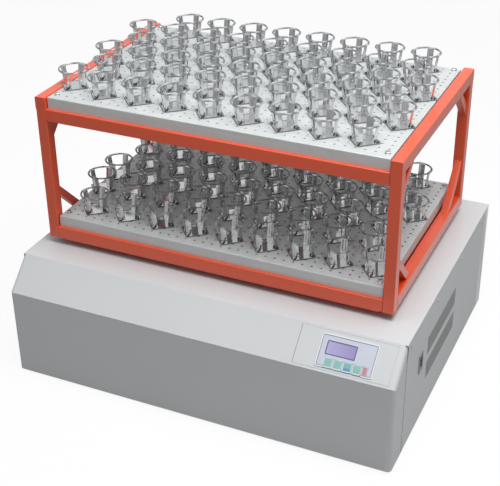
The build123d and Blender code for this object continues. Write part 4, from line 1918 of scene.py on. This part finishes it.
    def border(
        self, outer: Vector, inner: tuple[float, float], profile: list[tuple[float, float]]
    ) -> Shape:
        """Sweep a section round a rectangle, closed on an inner rectangle.

        Args:
            outer: Size of the outer rectangle.
            inner: Size of the inner one.
            profile: Inset from the outer rectangle and level, for each turn of the sweep.

        Returns:
            The swept ring, about the origin.
        """
        shape = Shape()
        corners = ((1, 1), (-1, 1), (-1, -1), (1, -1))
        inner_x, inner_y = (size / 2 for size in inner)
        turns = [(inner_x, inner_y, 0.0, 0.0)]
        for inset, level in profile:
            turns.append((outer.x / 2 - inset, outer.y / 2 - inset, level, self.tray_nose))
        turns.append((inner_x, inner_y, -self.tray_sheet, 0.0))
        loops = []
        for half_x, half_y, level, nose in turns:
            points = [(x * half_x, y * half_y - (nose if y < 0 else 0.0), level) for x, y in corners]
            loops.append([shape.mesh.verts.new(point) for point in points])
        shape.bridge(loops + loops[:1])
        return shape

    def bolts(self, scatter: Scatter) -> None:
        """Build the hexagon bolts with washers at the trays' corners.

        Args:
            scatter: The tree that sets copies.
        """
        spots = []
        for low, high in islands("tray_bolts"):
            middle = (low + high) / 2
            spots.append(Spot(Vector((middle.x, middle.y, low.z))))
        sheet = self.washer_sheet
        rise = self.bolt_rise
        washer = RegularOutline(self.washer_radius, 20)
        nut = RegularOutline(self.bolt_radius, 6)
        wide, tall = self.washer_edge
        head = Shape().loft(washer, ((0.0, 0.0), (0.0, sheet), (wide, sheet + tall)))
        wide, tall = self.bolt_edge
        head.add(Shape().loft(nut, ((0.0, sheet), (0.0, rise - tall), (wide, rise))))
        scatter.place("tray_bolts_hexagon", head, spots, ["tray_bolts"], wobble=self.bolt_turn)


@dataclass
class FlaskClamps:
    """Sprung flask clamps on both trays.

    Attributes:
        turn: Turn of the base plates on the trays, in radians.
        wobble: The most that a clamp is off that turn, in radians.
        base: Side of the square base plate.
        base_corner: Corner radius of the base plate.
        base_edge: Rounding of the base plate.
        sheet: Thickness of the base plate.
        foot: Distance of a finger's outer face from the clamp's middle, at its foot.
        finger_width: Width of a finger.
        finger_sheet: Thickness of a finger.
        height: Height of the fingers' tips over the tray.
        flare: How far the tips lean out.
        groove: Height of the spring over the tray.
        screw_place: Distance of a corner screw from the clamp's middle.
        screw_radius: Radius of a corner screw.
        screw_profile: Inset of a corner screw and its level over the base plate, point by point.
        shade_rim: How far the dark rim of painted shade reaches past the base plate.
        shade_lap: How far the rim reaches in over the base plate.
        shade_rise: Height of the rim.
        pad_corner: Corner radius of the rim.
        pad_edge: Rounding of the rim.
        coil: Radius of the spring's coil, to the middle of its wire.
        wire: Radius of the wire.
        lift: Distance of the coil from the fingers' slope, to its wire's middle, in wire radii.
        sag: Share by which the spring is drawn in between the fingers.
        turns: How many turns the coil has.
        steps: How many straight pieces make one turn.
    """

    turn: float = math.radians(40)
    wobble: float = math.radians(1.5)
    base: float = 0.060
    base_corner: float = 0.005
    base_edge: float = 0.0003
    sheet: float = 0.002
    foot: float = 0.029
    finger_width: float = 0.018
    finger_sheet: float = 0.0015
    height: float = 0.0505
    flare: float = 0.0074
    groove: float = 0.049
    screw_place: float = 0.0345
    screw_radius: float = 0.0032
    screw_profile: Profile = (
        (0.0, -0.0002), (0.0, 0.0026), (0.0006, 0.0030), (0.0018, 0.0030), (0.0020, 0.0014),
    )
    shade_rim: float = 0.0014
    shade_lap: float = 0.0006
    shade_rise: float = 0.0024
    pad_corner: float = 0.006
    pad_edge: float = 0.0004
    coil: float = 0.0022
    wire: float = 0.0011
    lift: float = 0.4
    sag: float = 0.012
    turns: float = 92.0
    steps: float = 4.0

    def build(self, scatter: Scatter) -> None:
        """Build the clamps and the springs of both trays.

        Args:
            scatter: The tree that sets copies.
        """
        tree = SpringRing()
        dark = Moulded(tone(52, 53, 56), 0.35, gloss=0.2).material("clamp_screw")
        # Painted shade: a dark grey rim round each base plate stands for the shade at the plate's edge.
        edge_shade = Moulded(tone(112, 114, 116), 0.7).material("clamp_edge_painted_shade")
        for deck in ("upper", "lower"):
            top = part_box(f"{deck}_tray")[1].z
            centres = [(low + high) / 2 for low, high in islands(f"{deck}_clamp_springs")]
            spots = [Spot(Vector((centre.x, centre.y, top))) for centre in centres]
            for group in ("front", "middle", "rear"):
                node = f"{deck}_clamps_{group}"
                low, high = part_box(node)
                own = [spot for spot in spots if low.y < spot.place.y < high.y]
                scatter.place(f"{node}_pressed", self.clamp(), own, [node], self.turn, self.wobble)
                scatter.place(f"{node}_pads", self.pad(), own, [node], self.turn, self.wobble, edge_shade)
                scatter.place(f"{node}_screws", self.screws(), own, [node], self.turn, self.wobble, dark)
            raised = [Spot(spot.place + Vector((0.0, 0.0, self.groove))) for spot in spots]
            node = f"{deck}_clamp_springs"
            scatter.place(f"{node}_wound", self.ring(tree), raised, [node], self.turn, self.wobble)

    def reach(self, height: float) -> float:
        """How far a finger's outer face is from the clamp's middle at a height."""
        share = (height - self.sheet) / (self.height - self.sheet)
        return self.foot + self.flare * share

    def corners(self) -> list[Matrix]:
        """The turns that face the base plate's corners."""
        return [Matrix.Rotation(math.radians(45 + 90 * corner), 4, "Z") for corner in range(4)]

    def pad(self) -> Shape:
        """Shape the dark rim of painted shade round a base plate's edge, which stands for the shade at its
        foot.

        Returns:
            The rim.
        """
        side = self.base + 2 * self.shade_rim
        rise = self.shade_rise
        edge = self.pad_edge
        inner = self.shade_rim + self.shade_lap
        outline = RoundedOutline(side, side, self.pad_corner, 3)
        profile = ((0.0, 0.0), (0.0, rise - edge), (edge, rise), (inner, rise), (inner, 0.0))
        return Shape().loft(outline, profile, ring=True).outward()

    def clamp(self) -> Shape:
        """Shape a clamp's square base plate with rounded corners, and its four fingers.

        Returns:
            The clamp.
        """
        edge = self.base_edge
        outline = RoundedOutline(self.base, self.base, self.base_corner, 3)
        profile = ((0.0, 0.0), (0.0, self.sheet - edge), (edge, self.sheet))
        shape = Shape().loft(outline, profile)
        for corner in self.corners():
            shape.add(self.finger(), corner)
        return shape.outward()

    def finger(self) -> Shape:
        """Shape one ribbed finger that necks in behind the spring.

        Returns:
            The finger, along the first axis.
        """
        # A row is a height, a step out of the finger's slope, and what each side is narrower by
        rows = (
            (0.0006, 0.0016, 0.0),
            (0.0045, 0.0, 0.0),
            (0.022, 0.0, 0.0),
            (0.040, 0.0, 0.0),
            (self.groove - 0.0030, -0.0004, 0.0),
            (self.groove, -0.0009, 0.0006),
            (self.height, -0.0002, 0.0020),
        )
        # The rib across: a share of half the width, and how far the skin drops there
        rib = ((-1.0, 0.0012), (-0.35, 0.0004), (0.0, -0.0006), (0.35, 0.0004), (1.0, 0.0012))
        shape = Shape()
        skins = []
        for skin in (0.0, self.finger_sheet):
            courses = []
            for height, out, narrow in rows:
                face = self.reach(max(height, self.sheet)) + out - skin
                half = self.finger_width / 2 - narrow
                points = [(face - drop, half * share, height) for share, drop in rib]
                courses.append([shape.mesh.verts.new(point) for point in points])
            skins.append(courses)
        outer, inner = skins
        for lower in range(len(rows) - 1):
            upper = lower + 1
            shape.strip(outer[lower], outer[upper])
            shape.strip(inner[lower], inner[upper])
            for side in (0, -1):
                corners = (outer[lower], outer[upper], inner[upper], inner[lower])
                shape.mesh.faces.new([points[side] for points in corners])
        for end in (0, -1):
            shape.strip(outer[end], inner[end])
        return shape

    def screws(self) -> Shape:
        """Shape the screws in a base plate's corners.

        Returns:
            The four screws.
        """
        outline = RegularOutline(self.screw_radius, 8)
        profile = [(inset, self.sheet + level) for inset, level in self.screw_profile]
        shape = Shape()
        for corner in self.corners():
            spot = corner @ Matrix.Translation((self.screw_place, 0.0, 0.0))
            shape.add(Shape().loft(outline, profile), spot)
        return shape

    def ring(self, tree: SpringRing) -> Shape:
        """Shape one wound spring ring about the origin.

        Args:
            tree: The tree that winds it.

        Returns:
            The ring.
        """
        sizes = {
            "Reach": self.reach(self.groove) + self.coil + self.wire * self.lift,
            "Sag": self.sag,
            "Coil": self.coil,
            "Wire": self.wire,
            "Turns": self.turns,
            "Steps": self.steps,
            "Finish": wardrobe.materials["spring_steel"],
        }
        thing = tree.run("spring_ring_one", bpy.data.meshes.new("spring_seed"), sizes)
        shape = Shape()
        shape.mesh.from_mesh(thing.data)
        bpy.data.objects.remove(thing)
        return shape.moved(self.corners()[0]).outward()


# Studio


@dataclass(frozen=True)
class Lamp:
    """A square soft light.

    Attributes:
        name: Its name.
        place: Where it stands.
        aim: What it points at.
        size: Its side.
        power: Its power, in watts.
    """

    name: str
    place: Vector
    aim: Vector
    size: float
    power: float

    def build(self) -> None:
        """Add the light to the scene."""
        light = bpy.data.lights.new(self.name, "AREA")
        light.shape = "SQUARE"
        light.size = self.size
        light.energy = self.power
        thing = bpy.data.objects.new(self.name, light)
        bpy.context.scene.collection.objects.link(thing)
        turn = (self.place - self.aim).to_track_quat("Z", "Y").to_matrix().to_4x4()
        thing.matrix_world = Matrix.Translation(self.place) @ turn


@dataclass
class Studio:
    """Floor, lights, background and camera.

    Attributes:
        camera_place: Where the camera stands.
        azimuth: Its turn round the upright from the front, in degrees.
        elevation: Its height angle, in degrees.
        roll: Its roll, in degrees.
        focal: Focal length in pixels of the photograph.
        picture_width: Width of the photograph in pixels.
        sensor: Width of the sensor, in millimetres.
        sky: Strength of the sky at the zenith.
        horizon: Strength of the sky at the horizon.
        sky_mirrored: Share of the plain white that a reflection of the sky has.
        floor_half: Half the side of the floor.
        floor_glow: Strength of the floor's own light.
        floor_white: Share of that light in what the camera sees.
        floor_mirrored: Share of it that a reflection of the floor has.
    """

    camera_place: Vector = field(default_factory=lambda: Vector((1.1327, -2.5172, 1.9109)))
    azimuth: float = 24.728
    elevation: float = 30.062
    roll: float = -0.661
    focal: float = 1126.2
    picture_width: float = 500.0
    sensor: float = 36.0
    sky: float = 0.42
    horizon: float = 0.12
    sky_mirrored: float = 0.65
    floor_half: float = 9.0
    floor_glow: float = 1.12
    floor_white: float = 0.82
    floor_mirrored: float = 0.15

    def build(self) -> None:
        """Build the studio."""
        bpy.context.scene.view_settings.view_transform = "Standard"
        self.floor()
        self.world()
        Lamp("key", Vector((0.9, -0.55, 3.8)), Vector((0.1, 0.0, 0.4)), size=2.4, power=134.0).build()
        Lamp("side", Vector((3.5, 0.9, 1.6)), Vector((0.4, 0.0, 0.3)), size=2.2, power=4.0).build()
        self.camera()

    def floor(self) -> None:
        """Build a plain pale floor that stays near white for the camera and keeps the shadow."""
        shape = Shape()
        half = self.floor_half
        corners = ((-half, -half, 0.0), (half, -half, 0.0), (half, half, 0.0), (-half, half, 0.0))
        shape.mesh.faces.new([shape.mesh.verts.new(corner) for corner in corners])
        thing = shape.object("floor")
        material = bpy.data.materials.new("floor_pale")
        material.use_nodes = True
        graph = Graph(material.node_tree)
        shader = material.node_tree.nodes["Principled BSDF"]
        graph.feed(shader, {"Base Color": (0.4, 0.4, 0.4), "Roughness": 0.9, "Specular IOR Level": 0.0})
        glow = graph.add(
            "ShaderNodeEmission", values={"Color": (1.0, 1.0, 1.0), "Strength": self.floor_glow}
        )
        white = self.seen(graph, self.floor_mirrored) * self.floor_white
        mix = graph.add("ShaderNodeMixShader", values={0: white, 1: shader.outputs[0], 2: glow.outputs[0]})
        graph.feed(material.node_tree.nodes["Material Output"], {"Surface": mix.outputs[0]})
        thing.data.materials.append(material)

    def world(self) -> None:
        """Build a soft sky that the camera sees as plain white."""
        world = bpy.data.worlds.new("studio")
        bpy.context.scene.world = world
        world.use_nodes = True
        graph = Graph(world.node_tree)
        world.node_tree.nodes.clear()
        place = graph.add("ShaderNodeTexCoord").outputs["Generated"]
        strength = self.horizon + graph.axes(place)[2].between(-0.1, 0.9) * (self.sky - self.horizon)
        light = graph.add("ShaderNodeBackground", values={"Color": (1.0, 1.0, 1.0), "Strength": strength})
        white = graph.add("ShaderNodeBackground", values={"Color": (1.0, 1.0, 1.0), "Strength": 1.0})
        seen = self.seen(graph, self.sky_mirrored)
        mix = graph.add("ShaderNodeMixShader", values={0: seen, 1: light.outputs[0], 2: white.outputs[0]})
        graph.add("ShaderNodeOutputWorld", values={"Surface": mix.outputs[0]})

    @staticmethod
    def seen(graph: Graph, mirrored: float) -> Value:
        """Find out how far a ray sees the plain white background.

        Args:
            graph: The graph of the floor or the sky.
            mirrored: The share that a reflection of it has.

        Returns:
            1 for the camera and for rays through glass, and the share for a reflection.
        """
        path = graph.add("ShaderNodeLightPath")
        camera = Value(graph, path.outputs["Is Camera Ray"])
        through = Value(graph, path.outputs["Is Transmission Ray"])
        mirror = Value(graph, path.outputs["Is Glossy Ray"])
        return camera.most(through).most(mirror * mirrored)

    def camera(self) -> None:
        """Set the camera at the photograph's place and angle."""
        turn = math.radians(self.azimuth)
        rise = math.radians(self.elevation)
        roll = math.radians(self.roll)
        back = Vector((math.sin(turn) * math.cos(rise), -math.cos(turn) * math.cos(rise), math.sin(rise)))
        right = Vector((math.cos(turn), math.sin(turn), 0.0))
        up = back.cross(right)
        rolled_right = math.cos(roll) * right + math.sin(roll) * up
        rolled_up = math.cos(roll) * up - math.sin(roll) * right
        camera = bpy.data.cameras.new("camera")
        camera.sensor_fit = "HORIZONTAL"
        camera.sensor_width = self.sensor
        camera.lens = self.focal * self.sensor / self.picture_width
        camera.clip_end = 100.0
        thing = bpy.data.objects.new("camera", camera)
        bpy.context.scene.collection.objects.link(thing)
        axes = Matrix((rolled_right, rolled_up, back)).transposed().to_4x4()
        thing.matrix_world = Matrix.Translation(self.camera_place) @ axes
        bpy.context.scene.camera = thing


def main() -> None:
    """Build every sub-assembly round the frame."""
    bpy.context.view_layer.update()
    wardrobe.dress_nodes()
    scatter = Scatter()
    Cabinet().build(scatter)
    SidePanel().build(scatter)
    ControlPanel().build()
    Drive().build()
    Platform().build(scatter)
    FlaskClamps().build(scatter)
    Studio().build()


if __name__ == "__main__":
    main()
